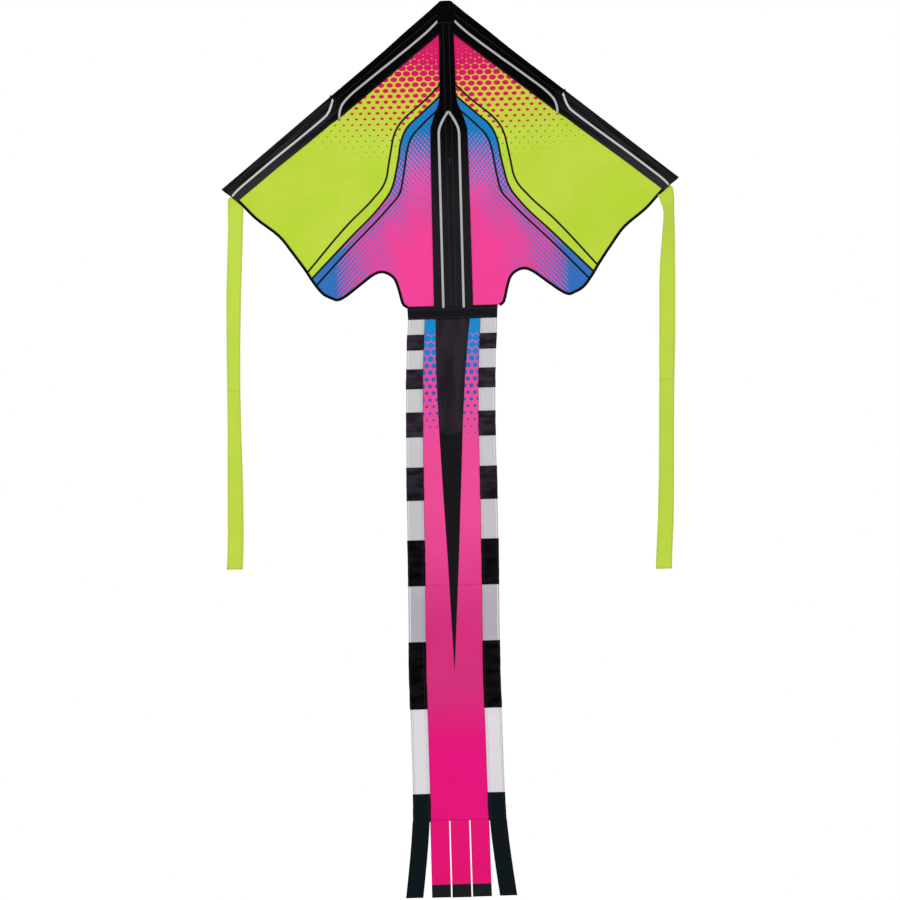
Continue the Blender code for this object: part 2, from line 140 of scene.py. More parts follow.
def feed(tree, node, inputs):
    """Links or sets a node's inputs, each to a Field, a socket or a plain value."""
    for name, value in inputs.items():
        source = value.socket if isinstance(value, Field) else value
        if isinstance(source, bpy.types.NodeSocket):
            tree.links.new(source, node.inputs[name])
        else:
            node.inputs[name].default_value = source


def add_node(tree, kind, inputs, **settings):
    node = tree.nodes.new("ShaderNode" + kind)
    for name, value in settings.items():
        setattr(node, name, value)
    feed(tree, node, inputs)
    return node


class Field:
    """A number at each point of a surface, built as shader nodes by ordinary arithmetic."""

    def __init__(self, tree, socket):
        self.tree = tree
        self.socket = socket

    def math(self, operation, *others):
        node = add_node(self.tree, "Math", dict(enumerate((self, *others))), operation=operation)
        return Field(self.tree, node.outputs[0])

    def __add__(self, other):
        return self.math("ADD", other)

    def __sub__(self, other):
        return self.math("SUBTRACT", other)

    def __rsub__(self, other):
        return (self * -1.0) + other

    def __mul__(self, other):
        return self.math("MULTIPLY", other)

    def __truediv__(self, other):
        return self.math("DIVIDE", other)

    __radd__ = __add__
    __rmul__ = __mul__

    def least(self, other):
        return self.math("MINIMUM", other)

    def most(self, other):
        return self.math("MAXIMUM", other)

    def size(self):
        return self.math("ABSOLUTE")

    def cosine(self):
        return self.math("COSINE")

    def rise(self, low, high):
        """0 below low, 1 above high, smooth between; low may be the larger."""
        ends = (high, low, 1.0, 0.0) if low > high else (low, high, 0.0, 1.0)
        inputs = dict(zip(("From Min", "From Max", "To Min", "To Max"), ends))
        inputs["Value"] = self
        node = add_node(self.tree, "MapRange", inputs, interpolation_type="SMOOTHSTEP")
        return Field(self.tree, node.outputs["Result"])

    def through(self, points):
        """The value read off a smooth line through (in, out) points."""
        ins, outs = zip(*points)
        in_span = ins[-1] - ins[0]
        out_low = min(outs)
        out_span = max(max(outs) - out_low, 1e-6)
        share = ((self - ins[0]) / in_span).most(0.0).least(1.0)
        node = add_node(self.tree, "FloatCurve", {"Value": share})
        places = [((a - ins[0]) / in_span, (b - out_low) / out_span) for a, b in points]
        line = node.mapping.curves[0]
        line.points[0].location = places[0]
        line.points[1].location = places[-1]
        for place in places[1:-1]:
            line.points.new(*place)
        for point in line.points:
            point.handle_type = "AUTO_CLAMPED"
        node.mapping.update()
        return Field(self.tree, node.outputs[0]) * out_span + out_low

    def off_lattice(self, pitch, phase=0.0):
        """Signed distance to the nearest of evenly spaced marks."""
        turns = (self - phase) / pitch
        return (turns - turns.math("ROUND")) * pitch


class Cloth:
    """A cloth material under construction; u and v are a point's place on the flat cloth in millimetres."""

    def __init__(self, name):
        self.material = bpy.data.materials.new(name)
        self.material.use_nodes = True
        self.tree = self.material.node_tree
        self.shader = self.tree.nodes["Principled BSDF"]
        self.place = add_node(self.tree, "UVMap", {}, uv_map="Flat").outputs["UV"]
        split = add_node(self.tree, "SeparateXYZ", {0: self.place})
        self.u = Field(self.tree, split.outputs["X"]) * 1000.0
        self.v = Field(self.tree, split.outputs["Y"]) * 1000.0

    def noise(self, grain, detail=2.0, stretch=(1.0, 1.0), seed=0.0):
        """Smooth noise from 0 to 1 with lumps about grain millimetres across."""
        scale = (1000 / grain / stretch[0], 1000 / grain / stretch[1], 1.0)
        shift = (seed * 7.3, seed * 3.1, 0.0)
        warp = add_node(self.tree, "Mapping", {"Scale": scale, "Location": shift, "Vector": self.place})
        inputs = {"Scale": 1.0, "Detail": detail, "Vector": warp.outputs["Vector"]}
        return Field(self.tree, add_node(self.tree, "TexNoise", inputs, noise_dimensions="2D").outputs["Fac"])

    def mix(self, share, first, second, **settings):
        """first where share is 0, second where it is 1; each is a colour or another mix."""
        inputs = {"Factor": share, 6: first, 7: second}
        node = add_node(self.tree, "Mix", inputs, data_type="RGBA", clamp_factor=True, **settings)
        return node.outputs[2]

    def stitches(self, across, along):
        """1 on the threads of a straight seam."""
        return across.size().rise(0.55, 0.35) * along.off_lattice(3.4).size().rise(1.25, 1.05)

    def ripstop(self):
        """1 on the thick threads of the ripstop grid."""
        tall, wide = (side.off_lattice(5.0).size().rise(0.32, 0.16) for side in (self.u, self.v))
        return tall.most(wide)

    def finish(self, colour, tone=0.08, rough=(0.46, 0.62), specular=0.1, sheen=0.05, crinkle=0.25,
               threads=None, thread_colour=(0.03, 0.03, 0.035, 1.0)):
        """Wires colour, weave, crinkles, stitching and sheen into the shader."""
        fine = self.noise(9.0, 2.0, seed=2.0)
        grid = self.ripstop()
        shade = (1.0 + tone) - self.noise(95.0, 3.0) * (tone * 2.0) - grid * 0.05
        grey = add_node(self.tree, "CombineColor", {0: shade, 1: shade, 2: shade})
        colour = self.mix(1.0, colour, grey.outputs[0], blend_type="MULTIPLY")
        height = grid * 0.05 + self.noise(38.0, 2.0, seed=1.0) * (crinkle * 4.0) + fine * (crinkle * 0.25)
        turn = 2 * math.pi / WEAVE_PITCH
        height = height + (self.u * turn).cosine() * (self.v * turn).cosine() * 0.012
        if threads is not None:
            colour = self.mix(threads, colour, thread_colour)
            height = height + threads * 0.2
        bump = add_node(self.tree, "Bump", {"Strength": 0.6, "Distance": MM, "Height": height})
        feed(self.tree, self.shader, {
            "Base Color": colour,
            "Roughness": fine * (rough[1] - rough[0]) + rough[0],
            "Normal": bump.outputs["Normal"],
            "Specular IOR Level": specular,
            "Sheen Weight": sheen,
            "Sheen Roughness": 0.4,
        })
        return self.material


# ---------------------------------------------------------------- prints

DULL = {"specular": 0.02, "sheen": 0.0}
BLACK = ink(12, 12, 13)
NEAR_BLACK = ink(5, 5, 6)
WASHED_BLACK = ink(34, 31, 35)
STRIPE_GREY = dye(176, 176, 180)

UPPER_LINE = [
    (190, -8), (216, 20), (255, 61), (311, 124), (337, 139), (378, 149), (409, 155), (460, 167),
    (500, 197), (567, 266), (686, 372), (800, 474),
]
MIDDLE_LINE = [
    (215, -8), (243, 20), (290, 72), (323, 107), (358, 123), (396, 130), (430, 137), (474, 149),
    (509, 171), (603, 263), (702, 361), (800, 458),
]
LOWER_LINE = [
    (248, -8), (276, 24), (322, 74), (346, 95), (373, 106), (421, 115), (455, 121), (489, 130),
    (518, 153), (629, 263), (720, 350), (800, 426),
]


def across_line(x, d, line):
    """Distance at right angles from a printed line given as (depth, x) points."""
    tilts = []
    for (d0, x0), (d1, x1) in zip(line, line[1:]):
        tilts.append(((d0 + d1) / 2, (d1 - d0) / math.hypot(x1 - x0, d1 - d0)))
    return (x - d.through(line)) * d.through(tilts)


def halftone(x, d, pitch, row, slope):
    """A staggered dot screen in sloping rows: 1 at the middle of each dot and -1 half way between them."""
    return (x * (2 * math.pi / pitch)).cosine() * ((d + x * slope) * (math.pi / row)).cosine()


SCREEN = [(0.0, 1.02), (0.04, 0.8), (0.115, 0.52), (0.25, 0.25), (0.5, 0.0), (0.75, -0.25),
          (0.885, -0.52), (0.96, -0.8), (1.0, -1.02)]


def dot_distance(x, d, pitch, row, phase_x, phase_d, flat):
    """Distance to the nearest dot's middle on a staggered lattice, with d stretched by flat."""
    rows = []
    for shift in (0.0, 0.5):
        across = x.off_lattice(pitch, phase_x + pitch * shift)
        down = d.off_lattice(row * 2, phase_d + row * 2 * shift) / flat
        rows.append((across * across + down * down).math("SQRT"))
    return rows[0].least(rows[1])


def sail_material():
    cloth = Cloth("sail_print")
    x = cloth.u.size()
    d = cloth.v
    mix = cloth.mix

    lime = mix(cloth.noise(170.0, 2.0, seed=3.0).rise(0.3, 0.7), dye(183, 212, 59), dye(191, 214, 71))
    fade = d + x * 0.26
    ground = mix(fade.rise(400.0, 180.0), lime, dye(214, 190, 70))
    reach = fade.through([
        (100, 13.4), (115, 13.0), (130, 12.5), (150, 12.0), (186, 11.0), (203, 10.3), (232, 9.0), (258, 8.0),
        (286, 6.7), (315, 5.6), (365, 4.0), (400, 2.7), (430, 1.9), (455, 1.3), (465, 0.0), (480, 0.0),
    ])
    away = dot_distance(x, d, 21.8, 14.1, 38.9, 184.7, 0.73)
    spot = (reach - away).rise(-0.5, 0.9) * reach.rise(0.2, 1.0)
    core = mix(fade.rise(200.0, 380.0), dye(212, 28, 102), dye(206, 32, 62))
    rim = mix(fade.rise(380.0, 415.0), dye(188, 30, 78), dye(122, 112, 42))
    dot = mix((reach - away).rise(0.6, 2.6), rim, core)
    dot = mix(fade.rise(165.0, 135.0), dot, dye(211, 32, 102))
    outer = mix(spot, ground, dot)

    to_middle = across_line(x, d, MIDDLE_LINE)
    to_lower = across_line(x, d, LOWER_LINE)
    to_upper = across_line(x, d, UPPER_LINE)
    band_share = d.through([
        (250, 1.0), (340, 1.0), (375, 0.97), (410, 0.86), (445, 0.74), (480, 0.64), (543, 0.54), (579, 0.56),
        (604, 0.72), (628, 0.9), (653, 1.0), (800, 1.0),
    ])
    top_share = d.through([
        (270, 1.0), (325, 1.0), (345, 0.93), (360, 0.86), (390, 0.64), (420, 0.42), (450, 0.28), (480, 0.18),
        (510, 0.11), (550, 0.06), (600, 0.02), (640, 0.0),
    ])
    near_share = (to_lower * -1.0).through([
        (0, 0.52), (14, 0.38), (27, 0.23), (40, 0.16), (53, 0.11), (67, 0.07), (90, 0.03), (115, 0.0),
    ])
    lobe_share = x.through([
        (120, 0.0), (165, 0.1), (190, 0.19), (215, 0.3), (240, 0.41), (265, 0.6), (290, 0.85), (305, 1.0),
        (400, 1.0),
    ])
    inner_share = top_share.most(near_share).most(lobe_share)
    in_band = to_lower.rise(-0.3, 0.3)
    share = band_share * in_band + inner_share * (1.0 - in_band)
    screen = halftone(x, d, 10.4, 7.2, -0.2) * d.rise(520.0, 450.0)
    screen = screen + halftone(x, d, 9.6, 6.4, 0.3) * d.rise(450.0, 520.0)
    threshold = share.through(SCREEN)
    blue_dot = (screen - threshold).rise(-0.16, 0.16)
    blue = mix(d.rise(330.0, 600.0), dye(28, 122, 188), dye(50, 112, 186))
    pink = mix(d.rise(420.0, 560.0), dye(236, 82, 166), dye(240, 68, 150))
    inner = mix(blue_dot, pink, blue)

    colour = mix(to_middle.rise(-0.3, 0.3), inner, outer)
    for distance in (to_upper, to_middle, to_lower):
        colour = mix(distance.size().rise(3.1, 2.1), colour, BLACK)
    return cloth.finish(colour, tone=0.05, crinkle=0.2)


def band_material():
    cloth = Cloth("center_band_cloth")
    x = cloth.u.size()
    d = cloth.v
    arch = [
        (276, -6), (282, 0), (290, 5.2), (300, 11.5), (310, 17), (320, 21.5), (330, 24.6), (345, 26), (800, 26),
    ]
    distance = across_line(x, d, arch).size() + d.rise(284.0, 276.0) * 20.0
    colour = cloth.mix(d.rise(260.0, 560.0), NEAR_BLACK, WASHED_BLACK)
    colour = cloth.mix(distance.rise(4.6, 3.8), colour, BLACK)
    colour = cloth.mix(distance.rise(3.3, 2.5), colour, STRIPE_GREY)
    seam = cloth.stitches(x - 7.5, d)
    return cloth.finish(colour, crinkle=0.3, threads=seam, **DULL)


STRIPE_UPPER = [
    (40, 26.5), (49, 27.4), (75, 30.0), (100, 31.2), (150, 31.0), (200, 30.3), (250, 28.8), (300, 27.8),
    (325, 27.4), (347, 28.4), (368, 31.5), (381, 37.0), (391, 44.0), (399, 52.0), (406, 61.0),
]
STRIPE_LOWER = [
    (370, 0.5), (380, 6.0), (390, 12.5), (402, 20.0), (414, 25.6), (427, 28.4), (450, 28.8), (500, 28.4),
    (600, 26.8), (700, 26.6), (722, 27.6), (745, 32.0), (760, 35.0),
]
SLEEVE_INNER = [
    (0, 56), (150, 56), (335, 55.5), (395, 55), (410, 54), (425, 52.5), (500, 52), (600, 49.5), (760, 49),
]
SLEEVE_OUTER = [
    (0, -7.5), (24, -7.5), (60, -6.2), (125, -5.5), (200, -3.0), (250, -2.5), (400, -2.5), (500, -2.0),
    (700, -1.0), (760, -1.0),
]


def sleeve_material():
    cloth = Cloth("leading_edge_cloth")
    s = cloth.u
    u = cloth.v + s.through(SLEEVE_OUTER)
    either = cloth.v.size() + s.through(SLEEVE_OUTER)
    first = across_line(u, s, STRIPE_UPPER).size() + s.rise(403.0, 407.0) * 20.0
    first = first + s.rise(50.0, 44.0) * 20.0
    second = across_line(u, s, STRIPE_LOWER).size() + s.rise(383.0, 379.0) * 20.0
    distance = first.least(second + s.rise(738.0, 743.0) * 20.0)
    # painted highlights: lighter streaks along the sleeve's lengthwise creases; the black is also paler past
    # the jog and inside the lower stripe towards the tip
    crease_highlights = cloth.noise(9.0, 3.0, (14.0, 0.6), 4.0).rise(0.38, 0.66)
    paler_black_and_highlights = cloth.mix(crease_highlights, ink(20, 19, 22), ink(42, 40, 44))
    inside = (u - s.through(STRIPE_LOWER)).rise(2.0, 6.0)
    paler_black_and_highlights = cloth.mix(inside * s.rise(480.0, 640.0), paler_black_and_highlights, ink(47, 45, 49))
    colour = cloth.mix(s.rise(350.0, 440.0), NEAR_BLACK, paler_black_and_highlights)
    colour = cloth.mix(distance.rise(4.8, 4.0), colour, NEAR_BLACK)
    stripe = cloth.mix(s.rise(366.0, 376.0) * u.rise(34.0, 27.0), STRIPE_GREY, dye(200, 198, 194))
    colour = cloth.mix(distance.rise(3.0, 2.3), colour, stripe)
    edge = cloth.stitches(either - s.through([(a, b - 3.0) for a, b in SLEEVE_INNER]), s)
    pocket = cloth.stitches(either - 13.5, s)
    return cloth.finish(colour, crinkle=0.35, threads=edge.most(pocket), **DULL)


def plain_material(name, colour, seams=(), thread=(0.03, 0.03, 0.035, 1.0), **looks):
    """A one-colour cloth. seams are functions of the cloth that give the seam's (across, along) fields."""
    cloth = Cloth(name)
    threads = None
    for seam in seams:
        more = cloth.stitches(*seam(cloth))
        threads = more if threads is None else threads.most(more)
    return cloth.finish(colour, threads=threads, thread_colour=thread, **looks)


def tail_center_material():
    cloth = Cloth("tail_center_print")
    x = cloth.u.size()
    d = cloth.v
    pink = cloth.mix(d.rise(1290.0, 1640.0), dye(236, 78, 149), dye(214, 53, 124))
    pink = cloth.mix(d.rise(1730.0, 1920.0), pink, dye(234, 8, 127))
    away = dot_distance(x, d, 17.6, 17.4, 0.0, 845.0, 1.0)
    reach = d.through([
        (813, 12.6), (835, 10.9), (855, 9.6), (880, 9.0), (905, 8.4), (930, 7.5), (960, 6.4), (1010, 5.0),
        (1060, 3.7), (1105, 2.4), (1135, 1.2), (1165, 0.0), (1180, 0.0),
    ])
    spot = (reach - away).rise(-0.5, 0.7) * reach.rise(0.2, 0.9)
    blue = cloth.mix(d.rise(860.0, 1000.0), dye(32, 134, 204), dye(52, 92, 178))
    colour = cloth.mix(spot, pink, blue)
    spike = x - (1717.0 - d) * (44.0 / (1717.0 - 813.0))
    worn = cloth.noise(60.0, 3.0, (0.5, 2.5), 6.0).rise(0.35, 0.7)
    black = cloth.mix(worn, dye(36, 31, 38), dye(48, 41, 49))
    black = cloth.mix((d + x * 0.4).rise(1106.0, 1116.0), black, dye(29, 26, 30))
    colour = cloth.mix(spike.rise(0.8, -0.8), colour, black)
    seam = cloth.stitches(x - 70.5, d)
    return cloth.finish(colour, tone=0.05, crinkle=0.3, threads=seam, thread_colour=dye(170, 40, 110))


def strip_material():
    cloth = Cloth("tail_strip_cloth")
    x = cloth.u.size()
    d = cloth.v
    colour = cloth.mix(d.rise(1080.0, 1300.0), dye(199, 199, 202), dye(196, 192, 197))
    colour = cloth.mix(d.rise(1400.0, 1560.0), colour, dye(178, 170, 180))
    colour = cloth.mix(d.rise(1600.0, 1850.0), colour, dye(225, 221, 227))
    welt = (x - 110.0).size().rise(2.2, 1.6)
    colour = cloth.mix(welt, colour, dye(226, 224, 228))
    seams = cloth.stitches(x - 108.0, d).most(cloth.stitches(x - 111.6, d)).most(cloth.stitches(x - 77.0, d))
    return cloth.finish(colour, tone=0.04, crinkle=0.3, threads=seams, thread_colour=dye(160, 158, 164))


def patch_material():
    cloth = Cloth("tail_patch_cloth")
    x = cloth.u.size()
    d = cloth.v
    # painted highlights on the patches' wrinkles: lighter streaks mixed into the black
    crease_highlights = cloth.noise(26.0, 3.0, (2.2, 0.6), 5.0).rise(0.32, 0.68)
    upper = cloth.mix(crease_highlights, ink(31, 25, 32), ink(54, 46, 56))
    middle = cloth.mix(crease_highlights, ink(9, 7, 9), ink(21, 19, 22))
    colour = cloth.mix(d.rise(1120.0, 1420.0), upper, middle)
    colour = cloth.mix(d.rise(1900.0, 1950.0), colour, ink(19, 27, 30))
    seams = cloth.stitches(x - 76.6, d).most(cloth.stitches(x - 111.4, d))
    return cloth.finish(colour, crinkle=0.45, threads=seams, thread_colour=dye(58, 57, 60), **DULL)


def tab_material(name, colour, foot_colour, foot_length=33.0, **looks):
    cloth = Cloth(name)
    d = cloth.v
    foot = -TAIL_FOOT - foot_length
    shown = cloth.mix(d.rise(foot - 0.6, foot + 0.6), colour, foot_colour)
    seam = cloth.stitches(d - (foot + 2.2), cloth.u)
    return cloth.finish(shown, tone=0.05, crinkle=0.35, threads=seam, thread_colour=dye(50, 46, 50), **looks)


def hard_material(name, colour, specular, rough, streaks, wear):
    """Glass-fibre rod, soft vinyl or moulded plastic, with streaks of a worn colour along it."""
    material = bpy.data.materials.new(name)
    material.use_nodes = True
    tree = material.node_tree
    place = tree.nodes.new("ShaderNodeTexCoord").outputs["Object"]
    warp = add_node(tree, "Mapping", {"Scale": streaks, "Vector": place})
    inputs = {"Scale": 1.0, "Detail": 4.0, "Vector": warp.outputs["Vector"]}
    grain = add_node(tree, "TexNoise", inputs).outputs["Fac"]
    ramp = add_node(tree, "ValToRGB", {"Fac": grain})
    for stop, position, tint in zip(ramp.color_ramp.elements, (0.35, 0.72), (colour, wear)):
        stop.position = position
        stop.color = (*tint, 1.0)
    spread = add_node(tree, "MapRange", {"To Min": rough - 0.08, "To Max": rough + 0.1, "Value": grain})
    bump = add_node(tree, "Bump", {"Strength": 0.25, "Distance": 0.2 * MM, "Height": grain})
    feed(tree, tree.nodes["Principled BSDF"], {
        "Base Color": ramp.outputs["Color"],
        "Roughness": spread.outputs["Result"],
        "Normal": bump.outputs["Normal"],
        "Specular IOR Level": specular,
    })
    return material


# ---------------------------------------------------------------- cloth shapes


def ramp_between(value, points):
    """Straight-line interpolation through (in, out) points."""
    return float(np.interp(value, [p[0] for p in points], [p[1] for p in points]))


def ease(value, low, high):
    share = min(max((value - low) / (high - low), 0.0), 1.0)
    return share * share * (3 - 2 * share)


def ripple(u, v, grain, seed):
    """Smooth noise about zero with lumps about grain millimetres across."""
    return noise.noise(Vector((u / grain, v / grain, seed)))


def hinge_x(z):
    return HINGE_TOP_X + (HINGE_FOOT_X - HINGE_TOP_X) * -z / SPINE_LENGTH


def edge_point(along, inward):
    return tuple(a * along + b * inward for a, b in zip(ALONG, INWARD))


def smooth(points, per_span=4):
    """Points on a Catmull-Rom curve through the given points."""
    ends = [points[0], *points, points[-1]]
    made = []
    for span in zip(ends, ends[1:], ends[2:], ends[3:]):
        for step in range(per_span):
            t = step / per_span
            made.append(tuple(
                0.5 * (2 * q + (r - p) * t + (2 * p - 5 * q + 4 * r - s) * t**2)
                + 0.5 * (3 * q - p - 3 * r + s) * t**3
                for p, q, r, s in zip(*span)
            ))
    made.append(points[-1])
    return made


def inset(points, distance):
    """The line at a distance to the right of an open line."""
    made = []
    for i, (x, z) in enumerate(points):
        x0, z0 = points[max(i - 1, 0)]
        x1, z1 = points[min(i + 1, len(points) - 1)]
        length = math.hypot(x1 - x0, z1 - z0)
        made.append((x + (z1 - z0) / length * distance, z - (x1 - x0) / length * distance))
    return made


def evenly(line, step):
    """The same line with points about a step apart, without its last point."""
    made = []
    for (x0, z0), (x1, z1) in zip(line, line[1:]):
        count = max(1, round(math.hypot(x1 - x0, z1 - z0) / step))
        for i in range(count):
            made.append((x0 + (x1 - x0) * i / count, z0 + (z1 - z0) * i / count))
    return made


def is_inside(points, outline):
    """Which points lie inside a closed outline."""
    inside = np.zeros(len(points), bool)
    x, z = points[:, 0], points[:, 1]
    for (x0, z0), (x1, z1) in zip(outline, [*outline[1:], outline[0]]):
        if z0 == z1:
            continue
        crosses = (z0 > z) != (z1 > z)
        inside ^= crosses & (x < (x1 - x0) * (z - z0) / (z1 - z0) + x0)
    return inside


def clear_of(points, others, distance):
    """Which points are further than a distance from all others."""
    if not len(others):
        return np.ones(len(points), bool)
    gaps = points[:, None, :] - np.array(others)[None, :, :]
    return (gaps**2).sum(2).min(1) > distance**2


def flat_mesh(outline, step, creases, holes=()):
    """Triangles over a flat outline, with rows of points along each crease."""
    loops = [evenly([*outline, outline[0]], step), *holes]
    rim = [p for loop in loops for p in loop]
    folds = [p for crease in creases for p in evenly(crease, step)]
    if folds:
        rows = np.array(folds)
        kept = is_inside(rows, outline) & clear_of(rows, rim, step * 0.35)
        folds = [tuple(p) for p in rows[kept]]
    low = np.min(outline, axis=0)
    high = np.max(outline, axis=0)
    pitch = step * 0.87
    grid = []
    for j in range(int((high[1] - low[1]) / pitch) + 2):
        shift = step * 0.5 if j % 2 else 0.0
        for i in range(int((high[0] - low[0]) / step) + 2):
            grid.append((low[0] + i * step + shift, low[1] + j * pitch))
    grid = np.array(grid)
    kept = is_inside(grid, outline) & clear_of(grid, rim, step * 0.6) & clear_of(grid, folds, step * 0.6)
    for hole in holes:
        kept &= ~is_inside(grid, hole)
    points = [*rim, *folds, *[tuple(p) for p in grid[kept]]]
    edges = []
    for loop in loops:
        count = len(loop)
        first = len(edges)
        edges += [(first + i, first + (i + 1) % count) for i in range(count)]
    made = delaunay_2d_cdt([Vector(p) for p in points], edges, [], 1, 0.0001)
    places = [(p.x, p.y) for p in made[0]]
    faces = [tuple(face) for face in made[2]]
    if holes:
        middles = np.array([np.mean([places[i] for i in face], axis=0) for face in faces])
        blocked = np.zeros(len(faces), bool)
        for hole in holes:
            blocked |= is_inside(middles, hole)
        faces = [face for face, gone in zip(faces, blocked) if not gone]
    return places, faces


def add_object(name, data):
    obj = bpy.data.objects.new(name, data)
    bpy.context.scene.collection.objects.link(obj)
    return obj


def shell(name, front, back, faces, flat):
    """A closed thin cloth from matching front and back points, the front's faces and flat places."""
    count = len(front)
    directed = set()
    for face in faces:
        directed.update(zip(face, (*face[1:], face[0])))
    rims = [(b, a, a + count, b + count) for a, b in sorted(directed) if (b, a) not in directed]
    behind = [tuple(i + count for i in reversed(face)) for face in faces]
    mesh = bpy.data.meshes.new(name)
    mesh.from_pydata((np.array([*front, *back]) * MM).tolist(), [], [*faces, *behind, *rims])
    shiny = np.zeros(len(mesh.polygons), bool)
    shiny[: len(faces) * 2] = True
    mesh.polygons.foreach_set("use_smooth", shiny)
    corners = np.zeros(len(mesh.loops), int)
    mesh.loops.foreach_get("vertex_index", corners)
    places = np.array(flat)[corners % count] * MM
    layer = mesh.uv_layers.new(name="Flat")
    layer.data.foreach_set("uv", places.ravel())
    mesh.update()
    return add_object(name, mesh)


def flat_area(places, faces):
    """Area of a flat mesh in square metres."""
    total = 0.0
    for face in faces:
        (ax, az), (bx, bz), (cx, cz) = (places[i] for i in face[:3])
        total += abs((bx - ax) * (cz - az) - (cx - ax) * (bz - az)) / 2
    return total * MM * MM


def sail_plane(x, z, y):
    return (x, y, z)


def cloth_sheet(name, outline, step=7.0, lift=None, thick=THREAD, creases=(), drift=None, holes=(),
                place=sail_plane, outward=(0.0, -1.0, 0.0), cut=None):
    """A sheet cut to an outline, lifted off its plane by lift(x, z) and moved sideways by drift(x, z)."""
    places, faces = flat_mesh(outline, step, creases, holes)
    out = np.array(outward) * thick / 2
    middle = []
    for x, z in places:
        moved = x + (drift(x, z) if drift else 0.0)
        middle.append(place(moved, z, lift(x, z) if lift else 0.0))
    middle = np.array(middle)
    flat = [(x, -z) for x, z in places]
    obj = shell(name, middle + out, middle - out, faces, flat)
    area = None
    if cut is None:
        cut = np.ptp(np.array(places), axis=0) * MM
        area = flat_area(places, faces)
        if area > cut[0] * cut[1] * 0.995:
            area = None
    return obj


def settle(obj, material, nodes, body=None, bend=None):
    """Gives a piece its material, hides the CAD nodes it replaces and parents it to its body; a piece given a
    bend only has its transform baked.
    """
    obj.data.materials.append(material)
    if nodes:
        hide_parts(*nodes)
    if bend:
        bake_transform(obj)
    else:
        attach(obj, body)
    return obj


def wing_bend(side, label):
    """The bend of cloth across a wing's fold line."""
    middle = ((HINGE_TOP_X + HINGE_FOOT_X) / 2, -SPINE_LENGTH / 2)
    slope = (HINGE_FOOT_X - HINGE_TOP_X) / SPINE_LENGTH
    length = math.hypot(1.0, slope)
    step = (FOLD_REACH / length, FOLD_REACH * slope / length)
    start = (side * (middle[0] - step[0]), 0.0, middle[1] - step[1])
    end = (side * (middle[0] + step[0]), 0.0, middle[1] + step[1])
    return ("center", label + "_wing", start, end)


def sail_lift(x, z):
    """The sail's billow and ripples, nothing at its seams. x is outward."""
    u = x * INWARD[0] + z * INWARD[1]
    past_fold = x - hinge_x(z)
    free = ease(u, 58.0, 130.0) * ease(past_fold, 8.0, 80.0)
    soft = ease(u, 52.0, 85.0) * ease(past_fold, 6.0, 30.0)
    billow = 3.2 * free
    return billow + ripple(x, z, 85.0, 1.5) * 2.2 * soft + ripple(x, z, 26.0, 4.5) * 0.5 * soft


def make_sail(side, label, material):
    """One printed half of the sail, from the spine to the hem, with rows of points along its fold line."""
    under = 42.0  # how far in from the leading edge the cloth starts, under the sleeve
    root = 1.5
    start = (root - INWARD[0] * under) / ALONG[0]
    hem_line = inset(smooth(TRAILING_EDGE), 2.0)
    lower = [(x, z) for x, z in hem_line if x * INWARD[0] + z * INWARD[1] > under + 1.0 and z > -779.0]
    end = lower[0][0] * ALONG[0] + lower[0][1] * ALONG[1]
    outline = [edge_point(start, under), edge_point(end, under), *lower]
    outline += [(HINGE_FOOT_X - 7.0, -SPINE_LENGTH + 1.5), (root, -SPINE_LENGTH)]
    outline = [(side * x, z) for x, z in outline][::-side]
    creases = [
        [(side * (hinge_x(z) + offset), z) for z in (-10.0, -783.0)]
        for offset in (-7.0, -4.7, -2.3, 0.0, 2.3, 4.7, 7.0)
    ]

    def lift(x, z):
        return sail_lift(abs(x), z)

    obj = cloth_sheet(label + "_sail_half", outline, 6.0, lift, creases=creases)
    return settle(obj, material, [label + "_wing_panel"], bend=wing_bend(side, label))


def section_normals(section):
    """The outward direction at each (across, y) point of a folded cloth's section."""
    made = []
    for before, (_, y), after in zip([section[0], *section], section, [*section[1:], section[-1]]):
        run = after[0] - before[0]
        rise = after[1] - before[1]
        length = max(math.hypot(run, rise), 1e-6)
        flip = -1.0 if -run * y < 0 or (abs(y) < 0.01 and rise > 0) else 1.0
        made.append((flip * rise / length, -flip * run / length))
    return made


def strip_shell(name, rows, thick=THREAD, keep_cell=None):
    """A folded cloth made of rows across it; each point is its place, outward direction and flat place."""
    middle, outward, flat = (np.array(column) for column in zip(*[point for row in rows for point in row]))
    front = middle + outward * thick / 2
    back = middle - outward * thick / 2
    across = len(rows[0])
    faces = []
    for i in range(len(rows) - 1):
        for j in range(across - 1):
            if keep_cell is None or keep_cell(i, j):
                a = i * across + j
                faces.append((a, a + 1, a + across + 1, a + across))
    first, second, third, _ = faces[len(faces) // 3]
    face_out = np.cross(front[second] - front[first], front[third] - front[first])
    if face_out @ outward[first] < 0:
        faces = [face[::-1] for face in faces]
    used = sorted({i for face in faces for i in face})
    place = {old: new for new, old in enumerate(used)}
    faces = [tuple(place[i] for i in face) for face in faces]
    obj = shell(name, front[used], back[used], faces, flat[used])
    return obj


SLEEVE_FLAT = 0.9  # how far the sleeve's flat part lies in front of and behind the sail


def sleeve_profile(s):
    """Half the sleeve's section at a distance along it: (u, y) from its outer edge to its inner edge."""
    outer = ramp_between(s, SLEEVE_OUTER)
    inner = ramp_between(s, SLEEVE_INNER)
    depth = SLEEVE_FLAT + 3.6 * ease(s, 29.0, 38.0)
    half = (9.0 - outer) / 2
    middle = outer + half
    flat_start = middle + 11.0
    points = []
    for angle in np.linspace(0.0, math.pi / 2, 7):
        points.append((middle - half * math.cos(angle), depth * math.sin(angle)))
    for i in range(1, 5):
        u = middle + 11.0 * i / 4
        points.append((u, depth + (SLEEVE_FLAT - depth) * ease(u, middle, flat_start)))
    points += [(flat_start + (inner - flat_start) * i / 12, SLEEVE_FLAT) for i in range(1, 13)]
    return points


